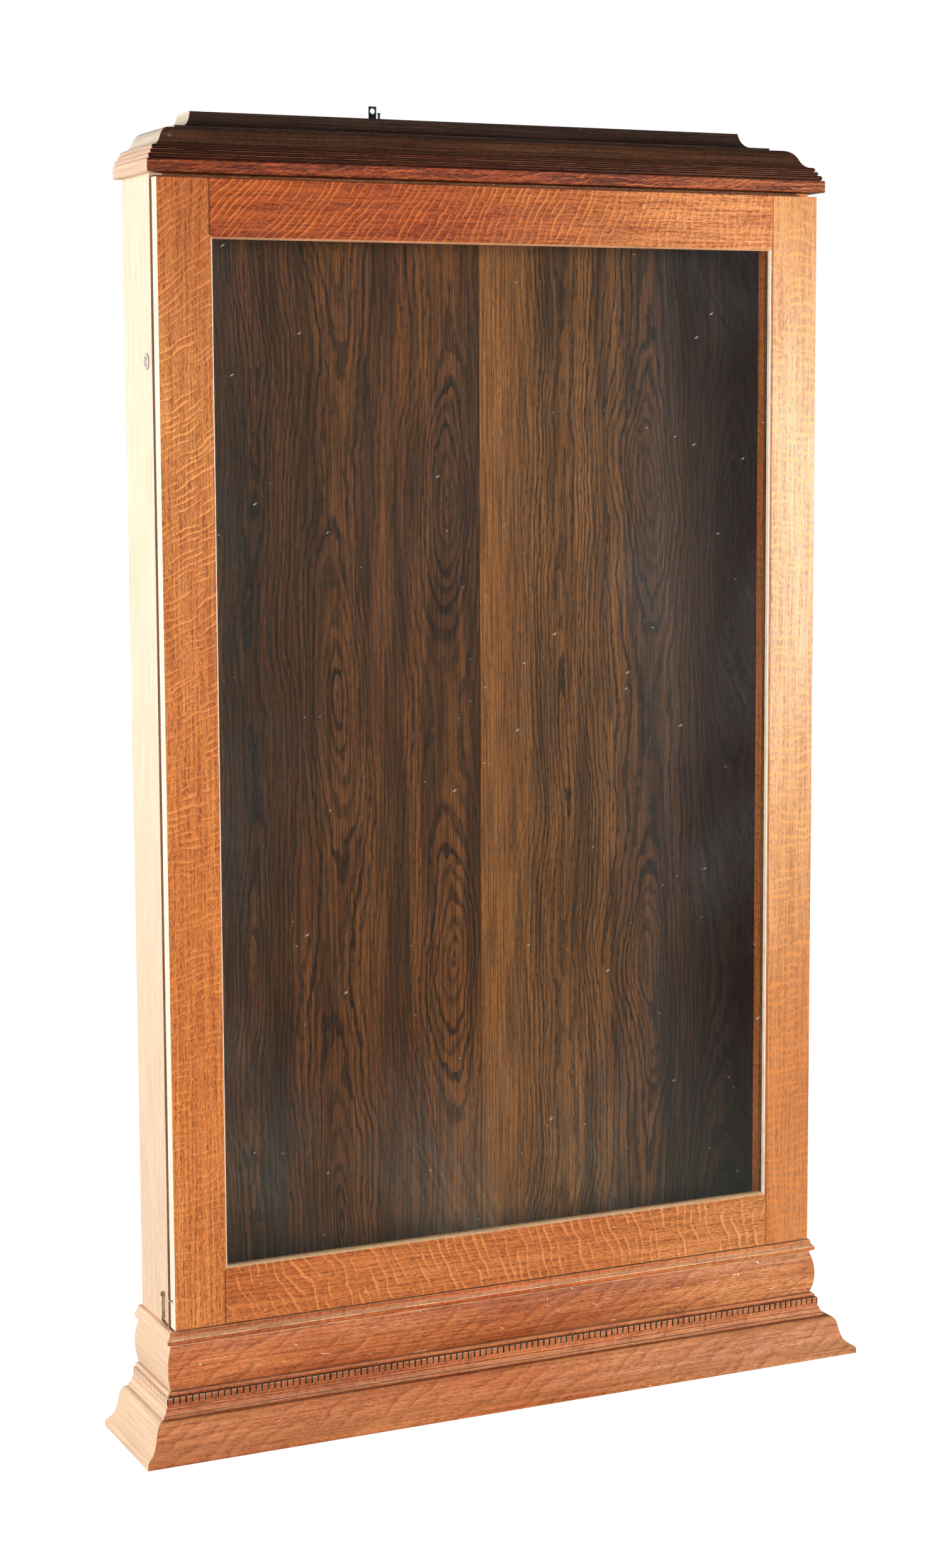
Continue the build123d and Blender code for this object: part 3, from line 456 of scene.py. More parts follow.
def oak(name, grain, face, seed, **options):
    """Quarter-sawn oak; grain is the axis it runs along, face the plane it is seen in."""
    material = open_material(name)
    wood = SimpleNamespace(**{**OAK, **options}, grain=grain, face=face)
    wood.base, wood.dark, wood.light = srgb(*wood.base), srgb(*wood.dark), srgb(*wood.light)
    position = object_position()
    wood.place = dict(zip("XYZ", split(position)))
    outward = -1.0 if face == "YZ" and name.endswith("_right") else 1.0
    wood.u, wood.v = grain_coords(position, grain, face, seed, outward)

    color = oak_grain(wood)
    color = ray_flecks(wood, color)
    color = varnish_nicks(wood, color)
    normal = surface_normal()
    if wood.top_dark:
        start, end, amount = wood.top_dark
        shade = step(wood.place["Z"], start, end, 0.0, amount)
        color = mix(shade, color, scaled(wood.dark, 0.30))
    # painted light and sheen, together with the tone, from end to end
    if wood.gains:
        color = paint_light_and_tone_along(wood, color)
    # painted highlight strips along the opening, and dark lines beside them
    for lip in wood.lips:
        color = paint_lip_strip(wood, color, *lip)
    # left-facing surfaces painted pale: painted light of the left-hand lamp
    if wood.left_face:
        light_color, amount = wood.left_face
        color = mix(step(normal[0], -0.35, -0.75, 0.0, amount), color, srgb(*light_color))
    # painted shade in and beside the dentil slots
    if wood.slots:
        color = paint_slot_shade(wood, color)
    color = wear_dirt_and_painted_light(wood, color, position, normal)

    roughness = mul_add(wood.pore, 0.15, (wood.mottle - 0.5) * 0.28 + wood.rough)
    height = wood.pore * -0.6 + wood.rings * 0.5
    principled(Base_Color=color, Roughness=roughness,
               Normal=bump(height, strength=0.35, distance=0.0006),
               Specular_IOR_Level=wood.spec, Coat_Weight=wood.coat, Coat_Roughness=0.3)
    return material


# ---------------------------------------------------------------- plain-sawn oak
def growth_distance(x, z, hearts, layer):
    """Distance to the nearest tree axis, blended, and the sideways distance alone."""
    wander = streaks(x, 150, z, 330, layer)
    x_warped = mul_add(wander - 0.5, 60.0, x)
    blended = nearest = None
    for heart_x, swing, length, start_z, phase in hearts:
        drift = noise(vec(z * (1 / 420), phase, layer), rough=0.45)
        wave = math_node("SINE", (z - start_z) * (2 * math.pi / length))
        depth = mul_add(drift - 0.5, 26.0, wave * (swing * 0.8))
        sway = noise(vec(z * (1 / 240), phase + 40.0, layer))
        sideways = mul_add(sway - 0.5, 40.0, x_warped) - heart_x
        distance = radius(sideways, depth)
        beside = abs(sideways)
        nearest = beside if nearest is None else math_node("MINIMUM", nearest, beside)
        distance = distance + phase * 3.1
        if blended is None:
            blended = distance
        else:
            blended = math_node("SMOOTH_MIN", blended, distance, 8.0)
    return blended, nearest


def cathedral(name, seed, hearts, base, dark, pitch, side_shade, tint, edge_light=None,
              ring_amt=1.0):
    """Oak board that cuts growth cylinders: straight lines beside a heart, arches along it.

    hearts: x, depth swing, swing length, z of no swing (mm), phase. pitch: ring spacing (mm).
    side_shade: painted shade towards the side of the case; x where it starts and is full (mm),
    colour, amount.
    edge_light: x of the pale edge, its width (mm), colour.
    """
    material = open_material(name)
    x, _, z = split(object_position())
    x, z = x * 1000.0, z * 1000.0
    layer = random.Random(seed).uniform(-900, 900)
    distance, nearest = growth_distance(x, z, hearts, layer)
    zigzag = streaks(x, 11, z, 34, layer + 7, detail=2, rough=0.55)
    waver = streaks(x, 34, z, 110, layer + 8)
    distance = mul_add(zigzag - 0.5, 8.0, distance)
    distance = mul_add(waver - 0.5, 9.0, distance)
    # rings of uneven width and strength
    uneven = noise(vec(distance * (1 / 21), 0.0, layer))
    years = mul_add(uneven - 0.5, 10.0, distance) * (1.0 / pitch)
    part = math_node("FRACT", years)
    band = step(part, 0.0, 0.07) * step(part, 0.56, 0.34)
    vary = noise(vec(math_node("FLOOR", years) * 0.77, 3.0, layer), detail=0)
    pore = step(streaks(x, 1.3, z, 14, layer + 3, detail=2, rough=0.65), 0.44, 0.62)
    fine = streaks(x, 2.4, z, 150, layer + 5, rough=0.6)
    tone = streaks(x, 42, z, 700, layer + 9, detail=3, rough=0.6)

    base, dark = srgb(*base), srgb(*dark)
    color = mix(step(tone, 0.34, 0.66), scaled(base, 0.52), scaled(base, 1.34))
    ring_fade = 1.0
    if edge_light:
        edge, width, edge_color = edge_light
        pale = step(x, edge, edge + width, 0.85, 0.0) * step(z, 300.0, 900.0, 0.45, 1.0)
        color = mix(pale, color, srgb(*edge_color))
        ring_fade = step(x, edge, edge + width * 1.1, 0.25, 1.0)
    color = mix(step(fine, 0.40, 0.62, 0.0, 0.52), color, dark)
    ring = band * (step(vary, 0.30, 0.58, 0.35, 1.0) * step(nearest, 45.0, 105.0, 1.0, 0.45))
    ring = ring * mix_numbers(pore, 0.58, 1.0) * ring_fade
    color = mix(ring * ring_amt, color, dark)
    color = mix(pore * 0.36, color, scaled(dark, 0.8))
    color = multiply_vectors(color, tint)
    # painted shade towards the side of the case
    start, end, shade_color, amount = side_shade
    color = mix(step(x, start, end, 0.0, amount), color, srgb(*shade_color))
    # the rear face is raw wood
    raw = mix(step(fine, 0.35, 0.65), srgb(150, 126, 98), srgb(104, 82, 60))
    raw = mix(ring * 0.7, raw, srgb(70, 54, 40))
    color = mix(step(surface_normal()[1], 0.4, 0.6), color, raw)
    principled(Base_Color=color, Roughness=0.5 + (fine - 0.5) * 0.2,
               Normal=bump(pore * -0.8, strength=0.4, distance=0.0006), Specular_IOR_Level=0.3)
    return material


# ---------------------------------------------------------------- metal
def brass(name):
    material = open_material(name)
    position = object_position()
    tarnish = noise(position, scale=260.0, detail=4, rough=0.6, distortion=0.6)
    grit = noise(position, scale=1500.0, detail=3, rough=0.6)
    color = mix(step(tarnish, 0.35, 0.65, 0.0, 0.5), srgb(196, 176, 128), srgb(92, 74, 44))
    color = mix(arris() * 0.5, color, srgb(232, 218, 180))
    principled(Base_Color=color, Metallic=1.0, Roughness=(tarnish - 0.5) * 0.35 + 0.34,
               Normal=bump(grit, strength=0.18, distance=0.0002))
    return material


def steel(name, base, rust, rust_amt, rough, metallic=1.0):
    material = open_material(name)
    position = object_position()
    stain = noise(position, scale=320.0, detail=5, rough=0.65, distortion=0.5)
    grit = noise(position, scale=2200.0, detail=2, rough=0.6)
    color = mix(step(stain, 0.55, 0.75, 0.0, rust_amt), srgb(*base), srgb(*rust))
    color = mix(arris() * 0.35, color, scaled(srgb(*base), 1.5))
    principled(Base_Color=color, Metallic=metallic, Roughness=stain * 0.3 + (rough - 0.1),
               Normal=bump(grit, strength=0.15, distance=0.0002))
    return material


def lock_face(name, piece):
    """Worn plated lock face: pale and satin outside; the keyway and the bore are painted dark as
    shade.
    """
    axis_y, axis_z = 0.00315, 1.4752
    face_x = min(vertex.co.x for vertex in NODES[piece].data.vertices)
    material = open_material(name)
    position = object_position()
    x, y, z = split(position)
    wear = noise(position, scale=420.0, detail=4, rough=0.6, distortion=0.6)
    color = mix(step(wear, 0.40, 0.66, 0.0, 0.5), srgb(232, 216, 206), srgb(200, 170, 154))
    # dirt in the joint between plug and barrel, and a darker ring round the rim
    dy, dz = y - axis_y, z - axis_z
    distance = radius(dy, dz)
    joint = step(abs(distance - 0.00705), 0.0005, 0.0001)
    joint_and_rim = maximum(joint, step(distance, 0.0101, 0.0107))
    color = mix(joint_and_rim * 0.75, color, srgb(112, 84, 72))
    # the keyway, painted dark as shade: an upright slot with round ends
    aside, upward = abs(dy), abs(dz)
    end = radius(dy, upward - 0.00415)
    slot = step(aside, 0.00125, 0.0009) * step(upward, 0.0050, 0.0046)
    keyway = maximum(slot, step(end, 0.0019, 0.0015))
    # painted shade down the bore and in the keyway
    keyway_and_bore_shade = maximum(step(x, face_x + 0.0004, face_x + 0.0010), keyway)
    color = mix(keyway_and_bore_shade, color, srgb(22, 18, 16))
    principled(Base_Color=color, Metallic=step(keyway_and_bore_shade, 0.0, 1.0, 0.30, 0.0),
               Roughness=(wear - 0.5) * 0.3 + 0.48, Specular_IOR_Level=0.4)
    return material


# ---------------------------------------------------------------- glass
def glass_dust(x, z):
    """Cover of dust and scratches, and the mask of its lower and left zone (mm)."""
    broad = streaks(x, 190, z, 300, layer=4.0, rough=0.45, distortion=0.5)
    wiped = streaks(x + z * 0.5, 6, z - x * 0.5, 110, layer=8.0, detail=3, rough=0.6,
                    distortion=0.8)
    right = step(x, 60.0, 400.0) * step(z, 500.0, 1150.0, 0.30, 1.0)
    low = maximum(step(z, 600.0, 255.0), step(x, -330.0, -425.0) * 0.5)
    right = right * (step(x, 422.0, 400.0, 0.2, 1.0) * step(z, 1680.0, 1320.0, 0.35, 1.0))
    smear = (step(broad, 0.42, 0.70) * step(wiped, 0.36, 0.72, 0.25, 1.0)
             * mul_add(maximum(right, low), 0.85, 0.12))
    # specks, rarer high up, and short slanting scratches
    speck_patches = streaks(x, 80, z, 80, layer=6.0)
    specks = (step(cells(x, 24, z, 24, layer=2.0), 0.052, 0.028)
              * step(speck_patches - step(z, 500.0, 1500.0, 0.0, 0.05), 0.48, 0.56))
    points = cells(x + z * 0.7, 85, z - x * 0.7, 17, layer=12.0)
    scratch_patches = streaks(x, 70, z, 70, layer=26.0, detail=0)
    scratches = step(points, 0.060, 0.035) * step(scratch_patches, 0.52, 0.57)
    film = mul_add(smear, 0.036, mul_add(right, 0.010, mul_add(low, 0.012, 0.001)))
    return maximum(film, maximum(specks * 0.36, scratches * 0.42)), low


def sheet_glass(name):
    """Old sheet glass: clear, with a film of dust and wiped smears, specks and scratches."""
    material = open_material(name)
    x, _, z = split(object_position())
    dust, low = glass_dust(x * 1000.0, z * 1000.0)
    clear = node("ShaderNodeBsdfTransparent", {0: (0.93, 0.95, 0.93)})
    gloss = node("ShaderNodeBsdfGlossy", {"Roughness": 0.03, "Color": (1.0, 1.0, 1.0)})
    fresnel = node("ShaderNodeFresnel", {"IOR": 1.45})
    pane = mix_shaders(fresnel * 0.22, clear, gloss)
    dust_color = mix(low, (0.80, 0.77, 0.78), (0.70, 0.80, 0.70))
    pane = mix_shaders(dust, pane, node("ShaderNodeBsdfDiffuse", {0: dust_color}))
    # light on its way in passes straight through
    shadow_ray = node("ShaderNodeLightPath", output="Is Shadow Ray")
    passing = node("ShaderNodeBsdfTransparent", {0: (0.90, 0.92, 0.90)})
    surface(mix_shaders(shadow_ray, pane, passing))
    return material


# ---------------------------------------------------------------- oak of the door
woods = {}   # material of each wooden piece

# its left-facing edge is painted pale as light from the left
woods["door_stile_left"] = oak(
    "oak_stile_left", "Z", "XZ", seed=11,
    base=(204, 118, 58), dark=(158, 78, 34), light=(220, 140, 74),
    ray_color=(238, 156, 86), ray_dark=(158, 62, 20), ray_angle=80.0, ray_angle2=54.0,
    ray_span=(0.8, 1.6), ray_centre=-464.0, ray_fade=(0.45, 1.35, 0.45, 1.0),
    ray_len=30, ray_w=9.5, ray_half=1.8, ray_amt=0.62, ray_line=0.75, ray_shade=0.2, warp=0.8,
    nick_cut=0.80, left_face=((255, 240, 220), 0.8),
    lips=(("X", -0.4252, -0.4200, (250, 232, 206), 0.85),),
    gains=((0.2, (1.14, 1.22, 1.3)), (0.5, (1.10, 1.08, 0.98)), (0.8, (1.06, 1.02, 0.84)),
           (1.1, (0.94, 0.90, 0.76)), (1.4, (1.08, 1.22, 1.14)), (1.72, (0.74, 0.58, 0.42))))
# the right stile's pale base and its strong gains in the upper half are painted sheen of the
# right-front light
woods["door_stile_right"] = oak(
    "oak_stile_right", "Z", "XZ", seed=12,
    base=(220, 148, 90), dark=(176, 104, 60), light=(234, 168, 112),
    ray_color=(238, 156, 84), ray_angle=84.0, ray_angle2=98.0,
    ray_span=(0.4, 1.75), ray_centre=464.0,
    ray_len=22, ray_w=12.0, ray_half=2.8, ray_amt=0.65, ray_line=0.0, ray_shade=0.0, warp=0.9,
    pores=0.5, grain_amt=0.34, nick_cut=0.80,
    lips=(("X", 0.4200, 0.4254, (255, 240, 216), 1.0),
          ("X", 0.4254, 0.4282, (150, 74, 44), 0.7)),
    gains=((0.3, (0.82, 0.70, 0.58)), (0.5, (0.84, 0.73, 0.60)), (0.8, (1.02, 1.18, 1.32)),
           (1.1, (1.18, 1.66, 2.55)), (1.4, (1.26, 1.80, 2.75)), (1.7, (1.0, 1.02, 0.90))))
# the strong gains at the right end of the top rail are painted sheen
woods["door_rail_top"] = oak(
    "oak_rail_top", "X", "XZ", seed=13,
    base=(178, 88, 42), dark=(124, 50, 20), light=(196, 108, 54),
    ray_color=(230, 134, 66), ray_dark=(120, 44, 18), ray_angle=46.0, ray_angle2=86.0,
    ray_span=(-0.43, 0.42), ray_centre=1676.0, ray_fade=(-0.05, 0.36, 1.0, 0.28),
    ray_len=44, ray_w=11.0, ray_half=2.1, line_w=0.6, ray_amt=0.66, ray_line=0.35,
    ray_shade=0.5, ray_gap=0.42, warp=0.7, nick_cut=0.80,
    lips=(("Z", TOP_Z - 0.0800, TOP_Z - 0.0756, (226, 176, 134), 0.65),
          ("X", -0.4300, -0.4263, (84, 34, 18), 0.85),
          ("X", 0.4264, 0.4300, (140, 72, 40), 0.75)),
    gains=((-0.36, (0.91, 0.74, 0.36)), (-0.1, (0.81, 0.60, 0.25)),
           (0.15, (1.08, 1.24, 0.98)), (0.36, (1.66, 2.45, 2.9))))
woods["door_rail_bottom"] = oak(
    "oak_rail_bottom", "X", "XZ", seed=14,
    base=(196, 108, 54), dark=(150, 76, 34), light=(208, 126, 70),
    ray_color=(230, 150, 88), ray_dark=(154, 74, 32), ray_angle=118.0, ray_angle2=100.0,
    ray_span=(-0.43, 0.43), ray_centre=208.0,
    ray_len=44, ray_half=2.0, line_w=0.6, ray_amt=0.5, ray_line=0.15, ray_shade=0.3,
    ray_gap=0.45, nick_cut=0.72, nicks=0.6,
    lips=(("Z", DATUM_Z + 0.0775, DATUM_Z + 0.0820, (206, 184, 146), 0.75),
          ("X", -0.4300, -0.4264, (104, 48, 26), 0.8),
          ("X", 0.4264, 0.4300, (116, 56, 32), 0.8)),
    gains=((-0.36, (1.06, 1.03, 0.97)), (-0.1, (1.08, 1.12, 1.06)),
           (0.15, (1.06, 1.10, 1.10)), (0.4, (1.16, 1.42, 1.55))))

# ---------------------------------------------------------------- oak of the cornice
FASCIA = dict(base=(164, 78, 40), dark=(62, 24, 12), light=(196, 104, 58), pores=0.9,
              ray_angle=10.0, ray_len=26, ray_w=7.0, ray_half=1.0, ray_amt=0.35, ray_line=0.3,
              ray_shade=0.5, wear=0.9, wear_color=(236, 170, 118), soot=0.5)
# left returns: painted glare of the light from the left
LEFT_SIDE = dict(fade=0.82, fade_low=0.82, fade_color=(252, 238, 218), ray_amt=0.2,
                 ray_line=0.0, ray_shade=0.1)
NO_RAYS = dict(ray_amt=0.0, ray_line=0.0, ray_shade=0.0)
CROWN_LOWER = dict(NO_RAYS, base=(90, 56, 38), dark=(36, 22, 15), light=(104, 68, 46),
                   pores=0.7, nicks=0.1, wear=0.25, wear_color=(150, 92, 56), rough=0.5,
                   spec=0.22, coat=0.0)
CROWN_UPPER = dict(CROWN_LOWER, base=(62, 43, 34), dark=(30, 21, 17), light=(72, 51, 40))
CROWN_RIGHT = dict(base=(120, 70, 44), dark=(60, 34, 22), light=(140, 86, 56), ray_amt=0.1,
                   ray_line=0.0, ray_shade=0.1, dust=0.1)
FASCIA_DARK_Z = (DATUM_Z + 1.5615, DATUM_Z + 1.5645)

woods["cornice_fascia_front"] = oak(
    "oak_fascia_front", "X", "XZ", seed=21, top_dark=(*FASCIA_DARK_Z, 0.86),
    gains=((-0.45, (0.78, 0.58, 0.31)), (0.0, (0.91, 0.65, 0.34)), (0.4, (1.10, 1.06, 0.80))),
    **FASCIA)
woods["cornice_fascia_left"] = oak("oak_fascia_left", "Y", "YZ", seed=22,
                                   **dict(LEFT_SIDE, fade_color=(236, 206, 178)))
woods["cornice_fascia_right"] = oak("oak_fascia_right", "Y", "YZ", seed=23,
                                    top_dark=(*FASCIA_DARK_Z, 0.7), **FASCIA)
woods["crown_lower_front"] = oak("crown_lower_front", "X", "XZ", seed=24, **CROWN_LOWER)
woods["crown_upper_front"] = oak("crown_upper_front", "X", "XZ", seed=25, **CROWN_UPPER)
for part, seed in (("crown_lower", 26), ("crown_upper", 28)):
    woods[part + "_left"] = oak(part + "_left", "Y", "YZ", seed, **LEFT_SIDE)
    woods[part + "_right"] = oak(part + "_right", "Y", "YZ", seed + 1, **CROWN_RIGHT)
woods["cornice_top_board"] = oak(
    "top_board", "X", "XZ", seed=30, base=(92, 66, 50), dark=(56, 40, 30),
    light=(110, 84, 66), dust=0.5, coat=0.0, rough=0.65, **NO_RAYS)

# ---------------------------------------------------------------- oak of the base mouldings
# base mouldings get painted shade on their undersides
BASE = dict(base=(192, 104, 56), dark=(126, 60, 28), light=(214, 134, 80), grain_amt=0.34,
            pores=0.6, ray_color=(222, 146, 94), ray_dark=(150, 70, 34), ray_line=0.1,
            wear_color=(252, 220, 182), nicks=0.7, nick_cut=0.74, under=0.55)
SLOT_HEIGHTS = (DATUM_Z - 0.1007, DATUM_Z - 0.0908)
# side: depth axis, outer and inner depth of the dentil slots
SLOT_DEPTHS = {"front": ("Y", MOULDING_Y - 0.0152, MOULDING_Y - 0.0148),
               "left": ("X", -0.5152, -0.5148),
               "right": ("X", 0.5152, 0.5148)}
GAIN_PLACES = (-0.45, 0.0, 0.4)
# part, seed of its front, RGB gains of the front at GAIN_PLACES (tone and painted light),
# changes to BASE
BASE_PARTS = (
    ("bed_moulding", 31, ((0.92, 0.86, 0.80), (1.06, 0.78, 0.58), (1.12, 1.18, 1.08)),
     dict(ray_amt=0.15, dust=0.6, wear=0.9, soot=0.25, dust_color=(222, 190, 150))),
    ("frieze", 41, ((1.27, 1.34, 1.44), (0.88, 0.77, 0.71), (1.26, 1.55, 1.80)),
     dict(ray_angle=30, ray_len=60, ray_w=22, ray_half=3.0, ray_amt=0.08, dust=0.15, wear=0.5,
          nicks=0.85, nick_cut=0.66, base=(178, 90, 46), dark=(112, 50, 24),
          # painted shade line in the crease under the frieze
          grooves=((DATUM_Z - 0.0850, 0.0011, 0.8),))),
    ("dentil_moulding", 51, ((0.86, 0.72, 0.76), (1.08, 0.98, 0.95), (1.14, 1.20, 1.35)),
     dict(ray_amt=0.1, dust=0.4, wear=0.8, soot=0.3,
          # painted shade lines in the creases of the dentil moulding
          grooves=((DATUM_Z - 0.0907, 0.0012, 0.75), (DATUM_Z - 0.1070, 0.0009, 0.6),
                   (DATUM_Z - 0.1134, 0.0010, 0.7)))),
    ("base_plinth", 61, ((1.10, 1.26, 1.40), (0.96, 0.85, 0.70), (1.10, 1.42, 1.80)),
     dict(ray_angle=30, ray_len=60, ray_w=22, ray_half=4.0, ray_amt=0.12, dust=0.14,
          # painted shade line in the crease of the plinth
          wear=0.95, soot=0.08, grooves=((DATUM_Z - 0.1172, 0.0010, 0.7),))))

for part, seed, gains, changes in BASE_PARTS:
    sides = {"front": ("X", "XZ", seed, dict(gains=tuple(zip(GAIN_PLACES, gains)))),
             # the left returns get painted glare
             "left": ("Y", "YZ", seed + 1, dict(fade=0.78, fade_color=(250, 218, 186))),
             "right": ("Y", "YZ", seed + 2, {})}
    for side, (grain, face, side_seed, extra) in sides.items():
        # dentil slots get painted shade
        if part == "dentil_moulding":
            extra["slots"] = SLOT_DEPTHS[side] + SLOT_HEIGHTS
        name = part + "_" + side
        woods[name] = oak(name, grain, face, side_seed, **{**BASE, **changes, **extra})

# ---------------------------------------------------------------- oak of the carcase
# the left side panel is washed pale with painted glare of the light from the left
woods["side_panel_left"] = oak(
    "side_left", "Z", "YZ", seed=71, base=(214, 140, 84), dark=(172, 98, 52),
    light=(230, 164, 108), ray_amt=0.05, ray_line=0.0, ray_shade=0.0, wear=0.3, fade=0.84,
    fade_low=0.58, fade_color=(251, 234, 208), nick_cut=0.8)
woods["side_panel_right"] = oak(
    "side_right", "Z", "YZ", seed=72, base=(222, 128, 62), dark=(150, 74, 34),
    light=(238, 150, 80), ray_angle=80, ray_amt=0.3)
for seed, name in enumerate(("carcase_top", "carcase_bottom", "base_front_board"), 73):
    woods[name] = oak(name, "X", "XZ", seed, base=(150, 94, 52), dark=(98, 54, 28),
                      light=(168, 110, 64), ray_amt=0.2, wear=0.2)

STOP = dict(base=(128, 62, 38), dark=(70, 30, 18), light=(160, 84, 50), ray_amt=0.2, wear=0.2)
# a much paler copy of STOP for the right stop seen through the glass: painted light
STOP_RIGHT_LIT = dict(STOP, base=(240, 146, 70), dark=(150, 76, 32), light=(250, 166, 86))
FRAME_SIDES = (("left", "Z", "YZ"), ("right", "Z", "YZ"), ("top", "X", "XZ"),
               ("bottom", "X", "XZ"))
for seed, (side, grain, face) in enumerate(FRAME_SIDES, 76):
    woods["door_stop_" + side] = oak("stop_" + side, grain, face, seed,
                                     **(STOP_RIGHT_LIT if side == "right" else STOP))
for (side, grain, face), seed in zip(FRAME_SIDES, (84, 85, 83, 86)):
    woods["glazing_bead_" + side] = oak("bead_" + side, grain, face, seed, ray_amt=0.1,
                                        base=(168, 108, 56), dark=(104, 60, 28))

woods["back_board_left"] = cathedral(
    "back_left", seed=5, base=(136, 84, 38), dark=(12, 10, 10), pitch=7.2,
    hearts=((-330.0, 26.0, 2100.0, 520.0, 1.0),
            (-205.0, 52.0, 1500.0, 1020.0, 5.0),
            (-25.0, 66.0, 1350.0, 1290.0, 9.0)),
    side_shade=(-110.0, -400.0, (34, 24, 14), 0.46), tint=(0.86, 0.74, 0.60))
woods["back_board_right"] = cathedral(
    "back_right", seed=6, base=(150, 96, 48), dark=(14, 12, 12), pitch=6.8,
    hearts=((158.0, 26.0, 1900.0, 960.0, 2.0),
            (300.0, 52.0, 1500.0, 560.0, 6.0),
            (440.0, 80.0, 2400.0, 0.0, 8.0)),
    edge_light=(34.0, 90.0, (186, 118, 62)),
    side_shade=(170.0, 400.0, (36, 36, 40), 0.76), tint=(0.92, 0.87, 0.80))

# ---------------------------------------------------------------- glass and metal pieces
glass = sheet_glass("sheet_glass")
worn_brass = brass("brass_worn")
barrel_face = lock_face("lock_face_barrel", "lock_barrel")
plug_face = lock_face("lock_face_plug", "lock_plug")
plain_steel = steel("steel_plain", base=(150, 148, 142), rust=(96, 62, 40), rust_amt=0.3,
                    rough=0.4)
black_steel = steel("steel_black", base=(26, 26, 28), rust=(44, 36, 32), rust_amt=0.4,
                    rough=0.55, metallic=0.3)
screw_steel = steel("steel_screw", base=(70, 68, 66), rust=(84, 58, 40), rust_amt=0.4,
                    rough=0.5)
# bevel and material; any other piece that isn't wood or glass gets BRASS_FINISH
BRASS_FINISH = (0.0002, worn_brass)
METAL = {
    "lock_wafers": (0.0002, black_steel),
    "lock_barrel": (0.0003, barrel_face),
    "lock_plug": (0.0003, plug_face),
    "lock_nut": (0.0003, plain_steel),
    "lock_cam": (0.0003, plain_steel),
    "lock_cam_screw": (0.0003, plain_steel),
    "lock_keeper": (0.0003, plain_steel),
    "lock_keeper_screws": (0.0003, plain_steel),
    "hanger_strap": (0.0003, black_steel),
    "hanger_screws": (0.0002, screw_steel),
}
# bevel of wooden pieces by the start of their name
WOOD_BEVELS = (
    (0.0009, ("door_stile", "door_rail", "side_panel", "base_plinth", "cornice_fascia")),
    (0.0010, ("bed_mould", "crown", "frieze")),
    (0.0004, ("dentil",)),
)
OTHER_WOOD_BEVEL = 0.0005


def wood_bevel(name):
    for bevel, starts in WOOD_BEVELS:
        if name.startswith(starts):
            return bevel
    return OTHER_WOOD_BEVEL


def round_arrises(mesh, bevel):
    """Weld the faces, bevel the convex edges and mark the bevels in the arris attribute."""
    bm = bmesh.new()
    bm.from_mesh(mesh)
    bmesh.ops.remove_doubles(bm, verts=bm.verts, dist=2e-6)
    bmesh.ops.dissolve_degenerate(bm, dist=1e-6, edges=bm.edges)
    bmesh.ops.dissolve_limit(bm, angle_limit=math.radians(0.6), verts=bm.verts,
                             edges=bm.edges, delimit=set())
    layer = bm.faces.layers.float.new("arris")
    edges = [edge for edge in bm.edges if edge.is_manifold and edge.is_convex
             and edge.calc_face_angle(0.0) > math.radians(28.0)]
    result = bmesh.ops.bevel(bm, geom=edges, offset=bevel, offset_type="OFFSET", segments=2,
                             profile=0.5, affect="EDGES", clamp_overlap=True)
    for face in result["faces"]:
        face[layer] = 1.0
    for face in bm.faces:
        face.smooth = True
    bm.to_mesh(mesh)
    bm.free()


def refine(name, bevel, material):
    """Replace a CAD node by a copy with rounded arrises and smooth curved faces."""
    source = NODES[name]
    mesh = source.data.copy()
    piece = bpy.data.objects.new("v_" + name, mesh)
    bpy.context.scene.collection.objects.link(piece)
    round_arrises(mesh, bevel)
    for attribute in ("custom_normal", "sharp_face"):
        if attribute in mesh.attributes:
            mesh.attributes.remove(mesh.attributes[attribute])
    mesh.set_sharp_from_angle(angle=math.radians(34))
    mesh.materials.clear()
    mesh.materials.append(material)
    piece.modifiers.new("wn", "WEIGHTED_NORMAL").keep_sharp = True
    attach(piece, source["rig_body"])
    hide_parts(name)


for name in sorted(NODES):
    if name == "door_glass":
        NODES[name].data.materials.clear()
        NODES[name].data.materials.append(glass)
    elif name in woods:
        refine(name, wood_bevel(name), woods[name])
    else:
        refine(name, *METAL.get(name, BRASS_FINISH))

# ---------------------------------------------------------------- render settings and world
scene = bpy.context.scene
scene.view_settings.view_transform = "Standard"
scene.view_settings.look = "None"
CYCLES = dict(use_adaptive_sampling=True, adaptive_threshold=0.05, adaptive_min_samples=8,
              max_bounces=5, diffuse_bounces=2, glossy_bounces=1, transmission_bounces=2,
              transparent_max_bounces=8, caustics_reflective=False, caustics_refractive=False)
for key, value in CYCLES.items():
    setattr(scene.cycles, key, value)

# surroundings: plain white to the camera, dimmer towards the top as a light
world = bpy.data.worlds.new("world")
scene.world = world
world.use_nodes = True
tree = world.node_tree
height = split(node("ShaderNodeTexCoord", output="Generated"))[2]
brightness = step(height, 0.0, 0.75, WORLD_SIDE, WORLD_TOP, "LINEAR")
camera_ray = node("ShaderNodeLightPath", output="Is Camera Ray")
background = tree.nodes["Background"]
put(background.inputs[0], (1.0, 1.0, 1.0))
put(background.inputs[1], mix_numbers(camera_ray, brightness, 1.0))


